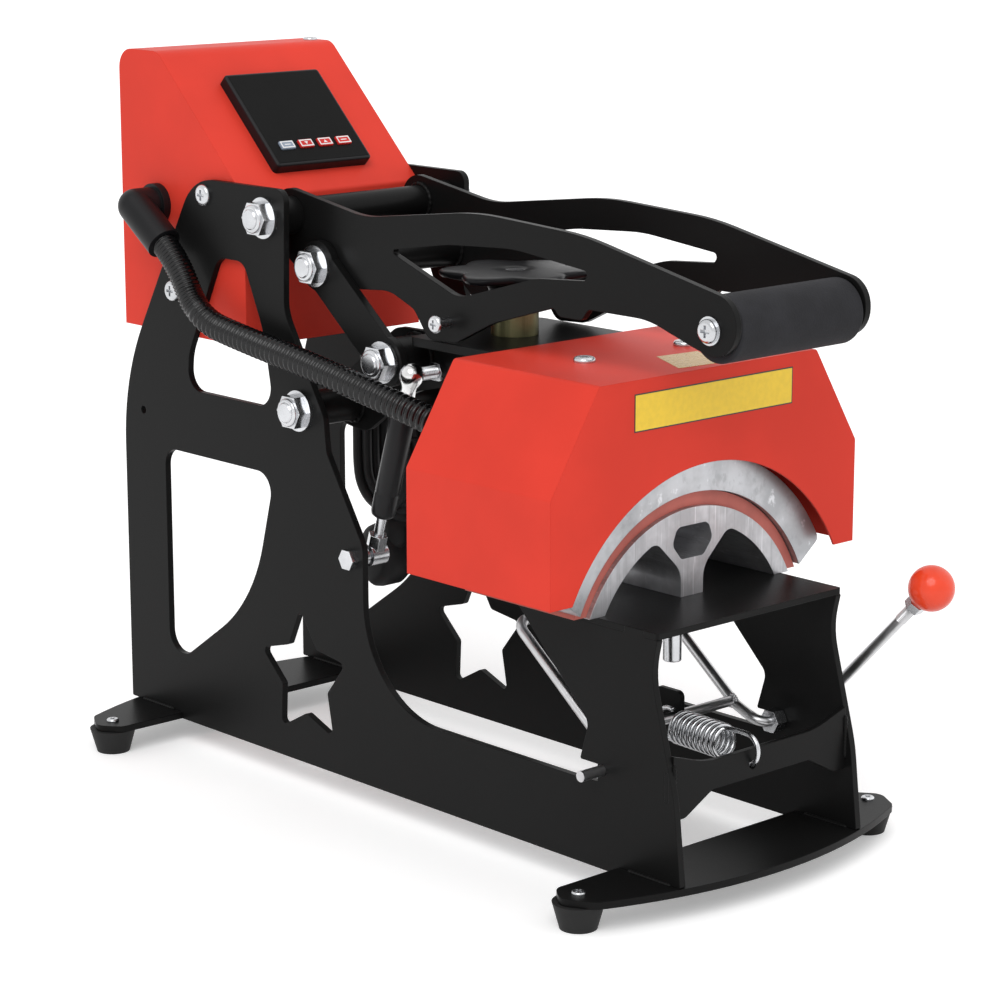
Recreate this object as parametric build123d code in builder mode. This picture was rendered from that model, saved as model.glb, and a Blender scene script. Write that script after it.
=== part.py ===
from build123d import *
from math import asin, atan2, cos, degrees, hypot, pi, radians, sin, sqrt
import os

os.makedirs("parts", exist_ok=True)

# Cap heat press, clamshell type. Millimetres, +Z up, the operator stands at -Y.
# The origin is on the bench, midway between the side plates and the two foot plates.

# ---------------------------------------------------------------- driving dimensions
plate = 4.0              # steel of the side plates, foot plates and handle arms
sheet = 1.5              # steel sheet of the control box
cover_sheet = 1.2        # steel sheet of the head cover
clear = 0.3              # gap between pieces that move past each other
fit = 0.05               # radial running clearance of a pin in its bore

frame_width = 142.0      # over the outer faces of the side plates
frame_rear = 244.0       # rear edge of the side plates
frame_front = -237.6     # front corner of the side plates
frame_top = 352.3        # top edge of the side plates
foot_height = 14.4       # rubber feet
foot_top_radius = 14.0
foot_bottom_radius = 10.0
strip_top = 61.5         # top of the strip that joins the front and rear of a side plate

handle_pivot = (100.4, 335.0)    # (y, z) of the axis of the handle
arm_pivot = (70.6, 226.5)        # axis of the press arm
link_top = (72.0, 308.7)         # link to handle
link_bottom = (12.8, 260.6)      # link to press arm
bolt_radius = 6.0                # M12 pivot bolts
washer_radius = 12.0
washer_thickness = 2.5
nut_width = 18.0                 # across the flats
nut_height = 6.5
nut_collar = 2.0                 # round top of a lock nut, over its nylon ring
nut_collar_radius = 8.2
bolt_end = 1.0                   # how far a bolt stands out of its nut

star_centre = (70.6, 67.1)
star_outer = 41.0
star_inner = 22.0

table_top = 151.6
table_thickness = 3.5
table_front = -219.0
table_rear = -113.0

form_centre = 115.0      # height of the common axis of form, pad and platen
form_radius = 85.0
pad_thickness = 7.9
platen_radius = 112.8
platen_thickness = 19.4
form_front = -175.0
form_rear = -88.0
form_bolt_at = (0.0, -161.0)
form_bolt_radius = 4.0
form_bolt_reach = 14.0   # how far the bolt goes up into the form

cover_half = 116.5       # half width of the head cover at its lower edge
cover_top_half = 82.4
cover_front = -187.1
cover_rear = -75.6
cover_bottom = 164.9
cover_shoulder = 222.8
cover_top = 277.5
arch_radius = 113.2
arch_centre = 113.3

beam_half = 50.0
beam_thickness = 5.0
beam_rear = -0.8

box_rear = 245.7
box_depth = 120.7
box_flat = 38.7          # depth of the flat top, behind the slope
box_bottom = 255.9
box_top = 424.0
box_lip = 343.8          # z where the slope meets the front wall
controller = 72.0        # side of the square bezel
controller_up = 51.4     # middle of the bezel, up the slope from the front wall

arm_face = 47.0          # inner face of a handle arm
link_thickness = 4.7
grip_centre = (-233.9, 308.4)
grip_radius = 17.5

adjuster_y = -34.5
knob_radius = 42.5
knob_lobes = 6
knob_bottom = 299.5
knob_height = 17.0
spindle_radius = 6.0

hold_pivot = (-179.3, 69.2)
hold_wire = 3.0          # radius of the bent rod
hold_half = 52.0         # half distance between the two rod arms
lever_x = 96.0
ball_radius = 12.7

# ---------------------------------------------------------------- derived sizes
side_out = frame_width / 2
side_in = side_out - plate
frame_bottom = foot_height
foot_plate_top = frame_bottom + plate
arm_out = arm_face + plate
link_in = arm_out + clear
link_out = link_in + link_thickness
pad_radius = form_radius + pad_thickness
platen_inner = platen_radius - platen_thickness
beam_top = cover_top - cover_sheet
beam_bottom = beam_top - beam_thickness
box_front = box_rear - box_depth
box_bend = box_rear - box_flat
head_middle = (cover_front + cover_rear) / 2
nut_stack = washer_thickness + nut_height + nut_collar + bolt_end


# ---------------------------------------------------------------- helpers
def outline(corners):
    """A flat face; each corner is (x, y, radius)."""
    with BuildSketch() as face:
        with BuildLine():
            FilletPolyline([(x, y) for x, y, _ in corners], radius=[r for _, _, r in corners], close=True)
        make_face()
    return face.sketch


def bar_x(x0, x1, at, radius, mode=Mode.ADD):
    """Round bar along X, its axis at (y, z)."""
    with BuildSketch(Plane.YZ.offset(x0)) as section:
        with Locations(at):
            Circle(radius)
    extrude(section.sketch, amount=x1 - x0, mode=mode)


def hex_x(x0, x1, at, across_flats, turn=0.0):
    """Hexagon bar along X, its axis at (y, z)."""
    with BuildSketch(Plane.YZ.offset(x0)) as section:
        with Locations(at):
            RegularPolygon(across_flats / 2, 6, major_radius=False, rotation=turn)
    extrude(section.sketch, amount=x1 - x0)


def bar_z(z0, z1, at, radius, mode=Mode.ADD):
    """Round bar along Z, its axis at (x, y)."""
    with BuildSketch(Plane.XY.offset(z0)) as section:
        with Locations(at):
            Circle(radius)
    extrude(section.sketch, amount=z1 - z0, mode=mode)


def slab_x(x0, x1, face, mode=Mode.ADD):
    """A plate square to X with the outline of a face drawn in (y, z)."""
    with BuildSketch(Plane.YZ.offset(x0)) as section:
        add(face)
    extrude(section.sketch, amount=x1 - x0, mode=mode)


def slab_y(y0, y1, face, mode=Mode.ADD):
    """A plate square to Y with the outline of a face drawn in (x, z)."""
    with BuildSketch(Plane.XZ.offset(-y0)) as section:
        add(face)
    extrude(section.sketch, amount=y0 - y1, mode=mode)


def block(x0, x1, y0, y1, z0, z1, mode=Mode.ADD):
    """A rectangular block between two corners."""
    with BuildSketch(Plane.XY.offset(z0)) as section:
        with Locations(((x0 + x1) / 2, (y0 + y1) / 2)):
            Rectangle(x1 - x0, y1 - y0)
    extrude(section.sketch, amount=z1 - z0, mode=mode)


def save(piece, name):
    """Label a finished piece and write its STEP file."""
    piece.label = name
    export_step(piece, f"parts/{name}.step")


def lock_nut():
    """Washer, lock nut and bolt end, standing on the XY plane."""
    nut_top = washer_thickness + nut_height
    with BuildPart() as stack:
        bar_z(0, washer_thickness, (0, 0), washer_radius)
        with BuildSketch(Plane.XY.offset(washer_thickness)) as flats:
            RegularPolygon(nut_width / 2, 6, major_radius=False)
        extrude(flats.sketch, amount=nut_height)
        bar_z(nut_top, nut_top + nut_collar, (0, 0), nut_collar_radius)
        fillet(stack.edges().sort_by(Axis.Z)[-1], 1.4)
        bar_z(0, nut_stack, (0, 0), bolt_radius)
        chamfer(stack.edges().sort_by(Axis.Z)[-1], 0.7)
    return stack.part


def fastener_x(side, face, at):
    """Washer, lock nut and bolt end on the surface at side * face; side is -1 or 1."""
    add(Plane(origin=(side * face, *at), x_dir=(0, 1, 0), z_dir=(side, 0, 0)).location * lock_nut())


def screw_head(radius, height):
    """Domed screw head with a cross recess, standing on the XY plane."""
    with BuildPart() as head:
        bar_z(0, height, (0, 0), radius)
        fillet(head.edges().sort_by(Axis.Z)[-1], 0.7 * height)
        with BuildSketch(Plane.XY.offset(0.4 * height)) as recess:
            Rectangle(radius, 0.25 * radius)
            Rectangle(0.25 * radius, radius)
        extrude(recess.sketch, amount=height, mode=Mode.SUBTRACT)
    return head.part


def head_x(side, face, at, radius, height):
    """Screw head on the surface at side * face, its axis at (y, z)."""
    add(Plane(origin=(side * face, *at), x_dir=(0, 1, 0), z_dir=(side, 0, 0)).location
        * screw_head(radius, height))


def head_z(face, at, radius, height):
    """Screw head on the level surface at face, its axis at (x, y)."""
    add(Pos(at[0], at[1], face) * screw_head(radius, height))


# ---------------------------------------------------------------- side plates
slot_front = -232.0      # the side plates stand in slots of the foot plates between these two
slot_rear = 233.0
SIDE_OUTLINE = [
    (slot_rear, frame_bottom, 0.0),
    (slot_rear, foot_plate_top, 0.0),
    (frame_rear, foot_plate_top, 1.0),
    (frame_rear, 222.0, 150.0),
    (168.8, frame_top, 32.0),
    (82.5, frame_top, 7.0),
    (84.3, 282.0, 25.0),
    (49.5, 225.5, 10.0),
    (47.3, 205.0, 12.0),
    (15.7, 155.0, 14.0),
    (15.7, strip_top, 62.0),
    (-160.0, strip_top, 0.0),
    (-176.0, strip_top + 1.0, 0.0),
    (-176.0, 72.0, 0.0),
    (-162.6, 72.0, 1.0),
    (-169.0, 93.5, 7.0),
    (table_rear, table_top - table_thickness, 1.0),
    (table_front, table_top - table_thickness, 1.0),
    (-214.5, 129.0, 45.0),
    (-232.0, 66.0, 100.0),
    (frame_front, foot_plate_top, 1.0),
    (slot_front, foot_plate_top, 0.0),
    (slot_front, frame_bottom, 0.0),
]
WINDOW = [
    (95.3, 223.9, 12.0),
    (178.3, 223.9, 12.0),
    (176.5, 246.0, 30.0),
    (146.0, 307.3, 12.0),
    (121.5, 307.3, 10.0),
    (104.0, 269.0, 60.0),
]
REAR_OPENING = [
    (202.9, 184.6, 11.0),
    (202.9, 55.5, 13.0),
    (184.0, 57.5, 10.0),
    (118.0, 103.0, 105.0),
    (95.8, 184.6, 12.0),
]
table_tabs = [-202.0, -128.0]
tab_length = 14.0
box_screws = [(box_rear - 87.9, box_lip - 0.8), (box_rear - 55.2, box_bottom + 26.6)]
box_screw_radius = 3.0
gas_stud_radius = 4.0
cross_tab = (-226.5, 71.0)
cross_tab_height = 16.0
cross_thickness = 3.0
rear_hole = (224.2, 204.9)
gas_lower = (25.2, 146.8)        # lower ball of the gas spring
rear_hole_radius = 2.5


def star_face():
    """Five-pointed star with one tip up and softly rounded corners."""
    points = []
    for i in range(10):
        reach = star_outer if i % 2 == 0 else star_inner
        angle = radians(86.0 + 36.0 * i)
        points.append((star_centre[0] + reach * cos(angle), star_centre[1] + reach * sin(angle), 3.0))
    return outline(points)


def side_plate(x0, x1, gas_side):
    """One side plate with its window, star, rear opening and bores."""
    with BuildPart() as side:
        slab_x(x0, x1, outline(SIDE_OUTLINE))
        for y in table_tabs:
            block(x0, x1, y - tab_length / 2, y + tab_length / 2, table_top - table_thickness, table_top)
        slab_x(x0, x1, outline(WINDOW), Mode.SUBTRACT)
        slab_x(x0, x1, outline(REAR_OPENING), Mode.SUBTRACT)
        slab_x(x0, x1, star_face(), Mode.SUBTRACT)
        bar_x(x0, x1, handle_pivot, bolt_radius, Mode.SUBTRACT)
        bar_x(x0, x1, arm_pivot, bolt_radius, Mode.SUBTRACT)
        bar_x(x0, x1, hold_pivot, hold_wire + fit, Mode.SUBTRACT)
        bar_x(x0, x1, rear_hole, rear_hole_radius, Mode.SUBTRACT)
        for at in box_screws:
            bar_x(x0, x1, at, box_screw_radius, Mode.SUBTRACT)
        if gas_side:
            bar_x(x0, x1, gas_lower, gas_stud_radius, Mode.SUBTRACT)
        block(x0, x1, cross_tab[0] - cross_thickness / 2, cross_tab[0] + cross_thickness / 2,
              cross_tab[1] - cross_tab_height / 2, cross_tab[1] + cross_tab_height / 2, Mode.SUBTRACT)
    return side.part


save(side_plate(-side_out, -side_in, True), "side_plate_left")
save(side_plate(side_in, side_out, False), "side_plate_right")

# ---------------------------------------------------------------- foot plates and feet
foot_half = 126.5
foot_inner = 192.0
foot_apex = 246.6
foot_end_y = 222.0
foot_screw = (foot_half - 13.0, foot_inner + 14.0)
foot_screw_radius = 2.5


def foot_plate(side):
    """Bow-shaped plate across the frame; side is -1 at the front and 1 at the rear."""
    end_x = foot_half - 10.0
    with BuildSketch() as bow:
        with BuildLine():
            Polyline((-end_x, side * foot_end_y), (-foot_half, side * (foot_inner + 13.0)),
                     (-end_x, side * foot_inner), (end_x, side * foot_inner),
                     (foot_half, side * (foot_inner + 13.0)), (end_x, side * foot_end_y))
            ThreePointArc((end_x, side * foot_end_y), (0, side * foot_apex), (-end_x, side * foot_end_y))
        make_face()
        fillet(bow.vertices().filter_by(lambda v: abs(v.X) > end_x - 1), 8.0)
        with Locations((-foot_screw[0], side * foot_screw[1]), (foot_screw[0], side * foot_screw[1])):
            Circle(foot_screw_radius, mode=Mode.SUBTRACT)
    with BuildPart() as foot:
        with BuildSketch(Plane.XY.offset(frame_bottom)) as base:
            add(bow.sketch)
        extrude(amount=plate)
        for x0 in (-side_out, side_in):
            block(x0, x0 + plate, slot_front, slot_rear, frame_bottom, foot_plate_top, Mode.SUBTRACT)
    return foot.part


with BuildPart() as foot_plates:
    add(foot_plate(-1))
    add(foot_plate(1))
save(foot_plates.part, "foot_plates")

foot_places = [(sx * foot_screw[0], sy * foot_screw[1]) for sx in (-1, 1) for sy in (-1, 1)]

with BuildPart() as rubber_feet:
    with BuildSketch(Plane.XY) as soles:
        with Locations(*foot_places):
            Circle(foot_bottom_radius)
    with BuildSketch(Plane.XY.offset(foot_height)) as tops:
        with Locations(*foot_places):
            Circle(foot_top_radius)
    for sole, top in zip(soles.sketch.faces(), tops.sketch.faces()):
        loft([sole, top])
    with Locations(*[(x, y, 0) for x, y in foot_places]):
        Cylinder(6.0, 7.0, align=(Align.CENTER, Align.CENTER, Align.MIN), mode=Mode.SUBTRACT)
        Cylinder(foot_screw_radius, foot_height, align=(Align.CENTER, Align.CENTER, Align.MIN),
                 mode=Mode.SUBTRACT)
save(rubber_feet.part, "rubber_feet")

with BuildPart() as foot_screws:
    for at in foot_places:
        bar_z(5.0, foot_plate_top, at, foot_screw_radius)
        bar_z(5.0, 7.0, at, 5.0)
        head_z(foot_plate_top, at, 3.8, 1.6)
save(foot_screws.part, "foot_screws")

# ---------------------------------------------------------------- table and front cross plate
with BuildPart() as table_plate:
    table_bottom = table_top - table_thickness
    block(-side_out, side_out, table_front, table_rear, table_bottom, table_top)
    fillet(table_plate.edges().filter_by(Axis.Z), 1.5)
    for x0 in (-side_out, side_in):
        for y in table_tabs:
            block(x0, x0 + plate, y - tab_length / 2, y + tab_length / 2, table_bottom, table_top,
                  Mode.SUBTRACT)
    bar_z(table_bottom, table_top, form_bolt_at, form_bolt_radius, Mode.SUBTRACT)
save(table_plate.part, "table_plate")

hook_hole = (-7.0, 70.3)
hook_hole_radius = 2.8
CROSS_OUTLINE = [
    (-side_in, 52.0, 0.5),
    (-58.0, 52.0, 6.0),
    (-34.0, 65.0, 30.0),
    (34.0, 65.0, 30.0),
    (58.0, 52.0, 6.0),
    (side_in, 52.0, 0.5),
    (side_in, 87.0, 0.5),
    (42.0, 79.0, 60.0),
    (-42.0, 79.0, 60.0),
    (-side_in, 87.0, 0.5),
]
with BuildPart() as front_cross_plate:
    cross_front = cross_tab[0] - cross_thickness / 2
    cross_rear = cross_tab[0] + cross_thickness / 2
    slab_y(cross_rear, cross_front, outline(CROSS_OUTLINE))
    block(-side_out, side_out, cross_front, cross_rear,
          cross_tab[1] - cross_tab_height / 2, cross_tab[1] + cross_tab_height / 2)
    with BuildSketch(Plane.XZ.offset(-cross_rear)) as hook_cut:
        with Locations(hook_hole):
            Circle(hook_hole_radius)
    extrude(amount=cross_thickness, mode=Mode.SUBTRACT)
save(front_cross_plate.part, "front_cross_plate")

# ---------------------------------------------------------------- lower form, pad and form bolt
leg_half = 8.5
arch_peak = 184.0
form_wall = 10.0
form_ring = form_radius - form_wall


def form_arch():
    """The right-hand arch of the extrusion, between the central leg and the ring."""
    with BuildSketch() as arch:
        with Locations((0, form_centre)):
            Circle(form_ring)
        corners = [(leg_half, 100.0, 0.0), (leg_half, 166.0, 15.0), (31.0, arch_peak + 4.0, 0.0),
                   (100.0, arch_peak + 4.0, 0.0), (100.0, 100.0, 0.0)]
        add(outline(corners), mode=Mode.INTERSECT)
        fillet(arch.vertices().sort_by(Axis.Y)[-1], 7.0)
    return arch.sketch


with BuildPart() as lower_form:
    with BuildSketch(Plane.XZ.offset(-form_rear)) as form_face:
        with Locations((0, form_centre)):
            Circle(form_radius)
        with Locations((0, table_top - 100.0)):
            Rectangle(2 * form_radius + 10, 200.0, mode=Mode.SUBTRACT)
        add(form_arch(), mode=Mode.SUBTRACT)
        add(mirror(form_arch(), about=Plane.YZ, mode=Mode.PRIVATE), mode=Mode.SUBTRACT)
        add(outline([(-8.5, 172.5, 4.0), (8.5, 172.5, 4.0), (15.5, 181.0, 5.0), (12.0, 190.5, 5.0),
                     (-12.0, 190.5, 5.0), (-15.5, 181.0, 5.0)]), mode=Mode.SUBTRACT)
    extrude(amount=form_rear - form_front)
    bar_z(table_top, table_top + form_bolt_reach, form_bolt_at, form_bolt_radius, Mode.SUBTRACT)
save(lower_form.part, "lower_form")

with BuildPart() as form_pad:
    with BuildSketch(Plane.XZ.offset(-form_rear - 1.0)) as pad_face:
        with Locations((0, form_centre)):
            Circle(pad_radius)
            Circle(form_radius, mode=Mode.SUBTRACT)
        with Locations((0, table_top + 0.6 - 100.0)):
            Rectangle(2 * pad_radius + 10, 200.0, mode=Mode.SUBTRACT)
    extrude(amount=form_rear - form_front - 2.0)
save(form_pad.part, "form_pad")

form_stem = 36.0         # plain stem of the form bolt below the table
form_stem_radius = 5.2
with BuildPart() as form_bolt:
    bar_z(table_bottom - form_stem, table_bottom, form_bolt_at, form_stem_radius)
    chamfer(form_bolt.edges().sort_by(Axis.Z)[0], 0.6)
    bar_z(table_bottom, table_top + form_bolt_reach, form_bolt_at, form_bolt_radius)
save(form_bolt.part, "form_bolt")

# ---------------------------------------------------------------- control box
BOX_OUTLINE = [
    (box_rear, box_bottom, 0.0),
    (box_rear, box_top, 12.0),
    (box_bend, box_top, 12.0),
    (box_front, box_lip, 3.0),
    (box_front, box_bottom, 0.0),
]
BOX_INSIDE = [
    (box_rear + 1.0, box_bottom - 1.0, 0.0),
    (box_rear + 1.0, box_top - sheet, 0.0),
    (box_bend - 0.4 * sheet, box_top - sheet, 10.5),
    (box_front + sheet, box_lip - 0.6 * sheet, 2.0),
    (box_front + sheet, box_bottom - 1.0, 0.0),
]
slope = atan2(box_top - box_lip, box_bend - box_front)
slope_face = Plane(
    origin=(0, box_front + controller_up * cos(slope), box_lip + controller_up * sin(slope)),
    x_dir=(1, 0, 0), z_dir=(0, -sin(slope), cos(slope)))
cutout = controller - 4.5
elbow_at = (box_rear - 36.8, box_bottom + 76.9)
elbow_bore = 8.0
top_screw_at = (60.0, box_rear - 26.7)

with BuildPart() as control_box:
    slab_x(-side_in, side_in, outline(BOX_OUTLINE))
    slab_x(-side_in + sheet, side_in - sheet, outline(BOX_INSIDE), Mode.SUBTRACT)
    with BuildSketch(slope_face.offset(-10.0)) as controller_hole:
        Rectangle(cutout, cutout)
    extrude(amount=20.0, mode=Mode.SUBTRACT)
    for side in (-1, 1):
        for at in box_screws:
            bar_x(side * (side_in - sheet - 1.0), side * side_in, at, box_screw_radius, Mode.SUBTRACT)
    bar_x(-side_in, -side_in + sheet + 1.0, elbow_at, elbow_bore, Mode.SUBTRACT)
    bar_z(box_top - sheet, box_top, top_screw_at, box_screw_radius, Mode.SUBTRACT)
save(control_box.part, "control_box")

back_half = side_in - sheet
rocker_at = (-28.0, box_top - 39.0)
rocker_size = (13.0, 19.0)
fuse_at = (10.0, box_top - 39.0)
fuse_radius = 6.5
gland_at = (36.0, box_front + 15.0)
gland_bore = 5.5
vent_bottom = box_bottom + 34.1
vent_pitch = 8.0
vent_height = 3.0

with BuildPart() as control_box_back:
    block(-back_half, back_half, box_rear - sheet, box_rear, box_bottom, box_top - 14.0)
    block(-back_half, back_half, box_front + sheet, box_rear, box_bottom, box_bottom + sheet)
    block(rocker_at[0] - rocker_size[0] / 2, rocker_at[0] + rocker_size[0] / 2, box_rear - 3.0, box_rear,
          rocker_at[1] - rocker_size[1] / 2, rocker_at[1] + rocker_size[1] / 2, Mode.SUBTRACT)
    with BuildSketch(Plane.XZ.offset(-box_rear)) as fuse_cut:
        with Locations(fuse_at):
            Circle(fuse_radius)
    extrude(amount=3.0, mode=Mode.SUBTRACT)
    bar_z(box_bottom, box_bottom + sheet, gland_at, gland_bore, Mode.SUBTRACT)
    for row in range(6):
        vent = vent_bottom + vent_pitch * row
        block(25.0, 55.0, box_rear - 3.0, box_rear, vent, vent + vent_height, Mode.SUBTRACT)
save(control_box_back.part, "control_box_back")

# ---------------------------------------------------------------- temperature controller
bezel_height = 7.0
controller_depth = 62.0
window_size = (52.0, 30.0)
window_centre = (0.0, 11.5)
button_size = (11.0, 6.6)
button_centres = [(-21.5, -21.5), (-7.2, -21.5), (7.2, -21.5), (21.5, -21.5)]
button_names = ["button_mode", "button_down", "button_up", "button_enter"]
button_stand = 1.2

with BuildPart() as controller_bezel:
    with BuildSketch(slope_face):
        RectangleRounded(controller, controller, 2.5)
    extrude(amount=bezel_height)
    front_rim = controller_bezel.faces().sort_by(Axis((0, 0, 0), slope_face.z_dir))[-1].edges()
    fillet(front_rim, 1.5)
    with BuildSketch(slope_face.offset(bezel_height - 3.0)):
        with Locations(window_centre):
            RectangleRounded(window_size[0], window_size[1], 2.0)
    extrude(amount=4.0, mode=Mode.SUBTRACT)
    with BuildSketch(slope_face.offset(bezel_height - 4.0)):
        with Locations(*button_centres):
            RectangleRounded(button_size[0], button_size[1], 1.2)
    extrude(amount=5.0, mode=Mode.SUBTRACT)
    with BuildSketch(slope_face):
        RectangleRounded(cutout - 0.4, cutout - 0.4, 2.0)
    extrude(amount=-controller_depth)
save(controller_bezel.part, "controller_bezel")

with BuildPart() as display_window:
    with BuildSketch(slope_face.offset(bezel_height - 3.0)):
        with Locations(window_centre):
            RectangleRounded(window_size[0], window_size[1], 2.0)
    extrude(amount=2.2)
save(display_window.part, "display_window")

for name, centre in zip(button_names, button_centres):
    with BuildPart() as button:
        with BuildSketch(slope_face.offset(bezel_height - 4.0 + 0.6)):
            with Locations(centre):
                RectangleRounded(button_size[0] - 0.5, button_size[1] - 0.5, 1.0)
        extrude(amount=3.4 + button_stand)
        crown = button.faces().sort_by(Axis((0, 0, 0), slope_face.z_dir))[-1].edges()
        fillet(crown, 0.6)
    save(button.part, name)

# ---------------------------------------------------------------- power switch, fuse and cord gland
rocker_wall = 1.0
rocker_axis = (box_rear - 1.0, rocker_at[1])
rocker_pin = 1.2
ROCKER = [
    (-4.5, -3.0, 1.0),
    (-1.5, -7.0, 1.0),
    (0.6, -7.42, 0.3),
    (1.0, 0.0, 4.0),
    (2.8, 6.9, 0.3),
    (-1.5, 7.0, 1.0),
    (-4.5, 3.0, 1.0),
]
with BuildPart() as switch_frame:
    outer_x = rocker_size[0] / 2
    outer_z = rocker_size[1] / 2
    block(rocker_at[0] - outer_x, rocker_at[0] + outer_x, box_rear - 16.0, box_rear,
          rocker_at[1] - outer_z, rocker_at[1] + outer_z)
    block(rocker_at[0] - outer_x - 1.0, rocker_at[0] + outer_x + 1.0, box_rear, box_rear + 1.5,
          rocker_at[1] - outer_z - 1.0, rocker_at[1] + outer_z + 1.0)
    block(rocker_at[0] - outer_x + rocker_wall, rocker_at[0] + outer_x - rocker_wall, box_rear - 8.0,
          box_rear + 2.0, rocker_at[1] - outer_z + rocker_wall, rocker_at[1] + outer_z - rocker_wall,
          Mode.SUBTRACT)
    bar_x(rocker_at[0] - outer_x, rocker_at[0] + outer_x, rocker_axis, rocker_pin + fit,
          Mode.SUBTRACT)
save(switch_frame.part, "switch_frame")

rocker_x = outer_x - rocker_wall - 0.3
with BuildPart() as switch_rocker:
    slab_x(rocker_at[0] - rocker_x, rocker_at[0] + rocker_x, outline([
        (rocker_axis[0] + depth, rocker_axis[1] + height, radius) for depth, height, radius in ROCKER]))
    bar_x(rocker_at[0] - rocker_x - 1.0, rocker_at[0] + rocker_x + 1.0, rocker_axis, rocker_pin)
save(switch_rocker.part, "switch_rocker")

with BuildPart() as fuse_holder:
    with BuildSketch(Plane.XZ.offset(-(box_rear - 18.0))):
        with Locations(fuse_at):
            Circle(fuse_radius)
    extrude(amount=-18.0)
    with BuildSketch(Plane.XZ.offset(-box_rear)):
        with Locations(fuse_at):
            Circle(fuse_radius + 2.0)
    extrude(amount=-2.0)
    with BuildSketch(Plane.XZ.offset(-box_rear - 2.0)):
        with Locations(fuse_at):
            Circle(fuse_radius - 0.5)
    extrude(amount=-6.0)
save(fuse_holder.part, "fuse_holder")

cord_radius = 3.0
with BuildPart() as cord_gland:
    bar_z(box_bottom, box_bottom + sheet, gland_at, gland_bore)
    bar_z(box_bottom - 4.0, box_bottom, gland_at, 8.0)
    bar_z(box_bottom + sheet, box_bottom + sheet + 3.0, gland_at, 7.5)
    bar_z(box_bottom - 10.0, box_bottom - 4.0, gland_at, 5.5)
save(cord_gland.part, "cord_gland")

# ---------------------------------------------------------------- box screws
with BuildPart() as box_screws_group:
    for side in (-1, 1):
        for at in box_screws:
            bar_x(side * (side_in - sheet - 3.0), side * side_out, at, box_screw_radius)
            head_x(side, side_out, at, 6.3, 3.0)
            bar_x(side * (side_in - sheet - 3.0), side * (side_in - sheet), at, 5.0)
    bar_z(box_top - sheet, box_top, top_screw_at, box_screw_radius)
    head_z(box_top, top_screw_at, 4.5, 1.6)
save(box_screws_group.part, "box_screws")

# ---------------------------------------------------------------- handle
ARM_OUTLINE = [
    (116.6, 353.0, 15.0),
    (36.0, 339.8, 80.0),
    (-58.0, 351.3, 200.0),
    (-140.0, 347.3, 200.0),
    (-251.5, 324.5, 15.5),
    (-251.5, 290.5, 15.5),
    (-222.0, 298.5, 40.0),
    (-190.0, 308.6, 60.0),
    (-146.0, 308.6, 3.5),
    (-141.0, 302.3, 4.0),
    (-124.0, 302.3, 4.0),
    (-120.0, 306.5, 3.0),
    (-72.0, 292.5, 60.0),
    (-42.0, 278.0, 12.0),
    (-19.0, 276.8, 9.0),
    (-7.0, 292.5, 10.0),
    (14.0, 300.5, 30.0),
    (56.0, 297.0, 30.0),
    (80.0, 293.0, 14.0),
    (116.6, 318.0, 15.0),
]
CRESCENT = [
    (15.0, 323.3, 1.5),
    (-36.0, 331.5, 90.0),
    (-88.0, 334.6, 120.0),
    (-147.0, 328.6, 2.5),
    (-143.0, 323.4, 1.5),
    (-106.0, 320.6, 40.0),
    (-44.0, 303.0, 24.0),
]
stop_pin = (-36.0, 288.5)
stop_pin_radius = 3.0
grip_bolt_radius = 4.0
tube_radius = 9.5


def handle_arm(x0, x1):
    """One handle arm with its crescent cut-out and bores."""
    with BuildPart() as arm:
        slab_x(x0, x1, outline(ARM_OUTLINE))
        slab_x(x0, x1, outline(CRESCENT), Mode.SUBTRACT)
        bar_x(x0, x1, handle_pivot, bolt_radius + fit, Mode.SUBTRACT)
        bar_x(x0, x1, grip_centre, grip_bolt_radius, Mode.SUBTRACT)
        bar_x(x0, x1, stop_pin, stop_pin_radius, Mode.SUBTRACT)
    return arm.part


save(handle_arm(-arm_out, -arm_face), "handle_arm_left")
save(handle_arm(arm_face, arm_out), "handle_arm_right")

with BuildPart() as handle_tubes:
    bar_x(-arm_face, arm_face, handle_pivot, tube_radius)
    bar_x(-arm_face, arm_face, handle_pivot, bolt_radius + fit, Mode.SUBTRACT)
    bar_x(-arm_face, arm_face, link_top, tube_radius)
    for side in (-1, 1):
        bar_x(side * arm_out, side * (side_in - clear), handle_pivot, 11.0)
        bar_x(side * arm_out, side * (side_in - clear), handle_pivot, bolt_radius + fit, Mode.SUBTRACT)
save(handle_tubes.part, "handle_tubes")

with BuildPart() as grip_rod:
    bar_x(-arm_face, arm_face, grip_centre, 8.0)
    bar_x(-arm_face, arm_face, grip_centre, grip_bolt_radius, Mode.SUBTRACT)
save(grip_rod.part, "grip_rod")

with BuildPart() as handle_grip:
    bar_x(-arm_face + 0.5, arm_face - 0.5, grip_centre, grip_radius)
    fillet(handle_grip.edges(), 2.0)
    bar_x(-arm_face + 0.5, arm_face - 0.5, grip_centre, 8.0, Mode.SUBTRACT)
save(handle_grip.part, "handle_grip")

with BuildPart() as handle_screws:
    for side in (-1, 1):
        bar_x(side * (arm_face - 22.0), side * arm_out, grip_centre, grip_bolt_radius)
        bar_x(side * arm_out, side * (arm_out + 1.2), grip_centre, 7.5)
        head_x(side, arm_out + 1.2, grip_centre, 6.3, 3.0)
        bar_x(side * arm_face, side * (arm_out + 9.0), stop_pin, stop_pin_radius)
        head_x(side, arm_out + 9.0, stop_pin, 5.0, 2.6)
save(handle_screws.part, "handle_screws")

# ---------------------------------------------------------------- links and pivot bolts
link_lobe = 14.5
link_waist = 12.5


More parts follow.
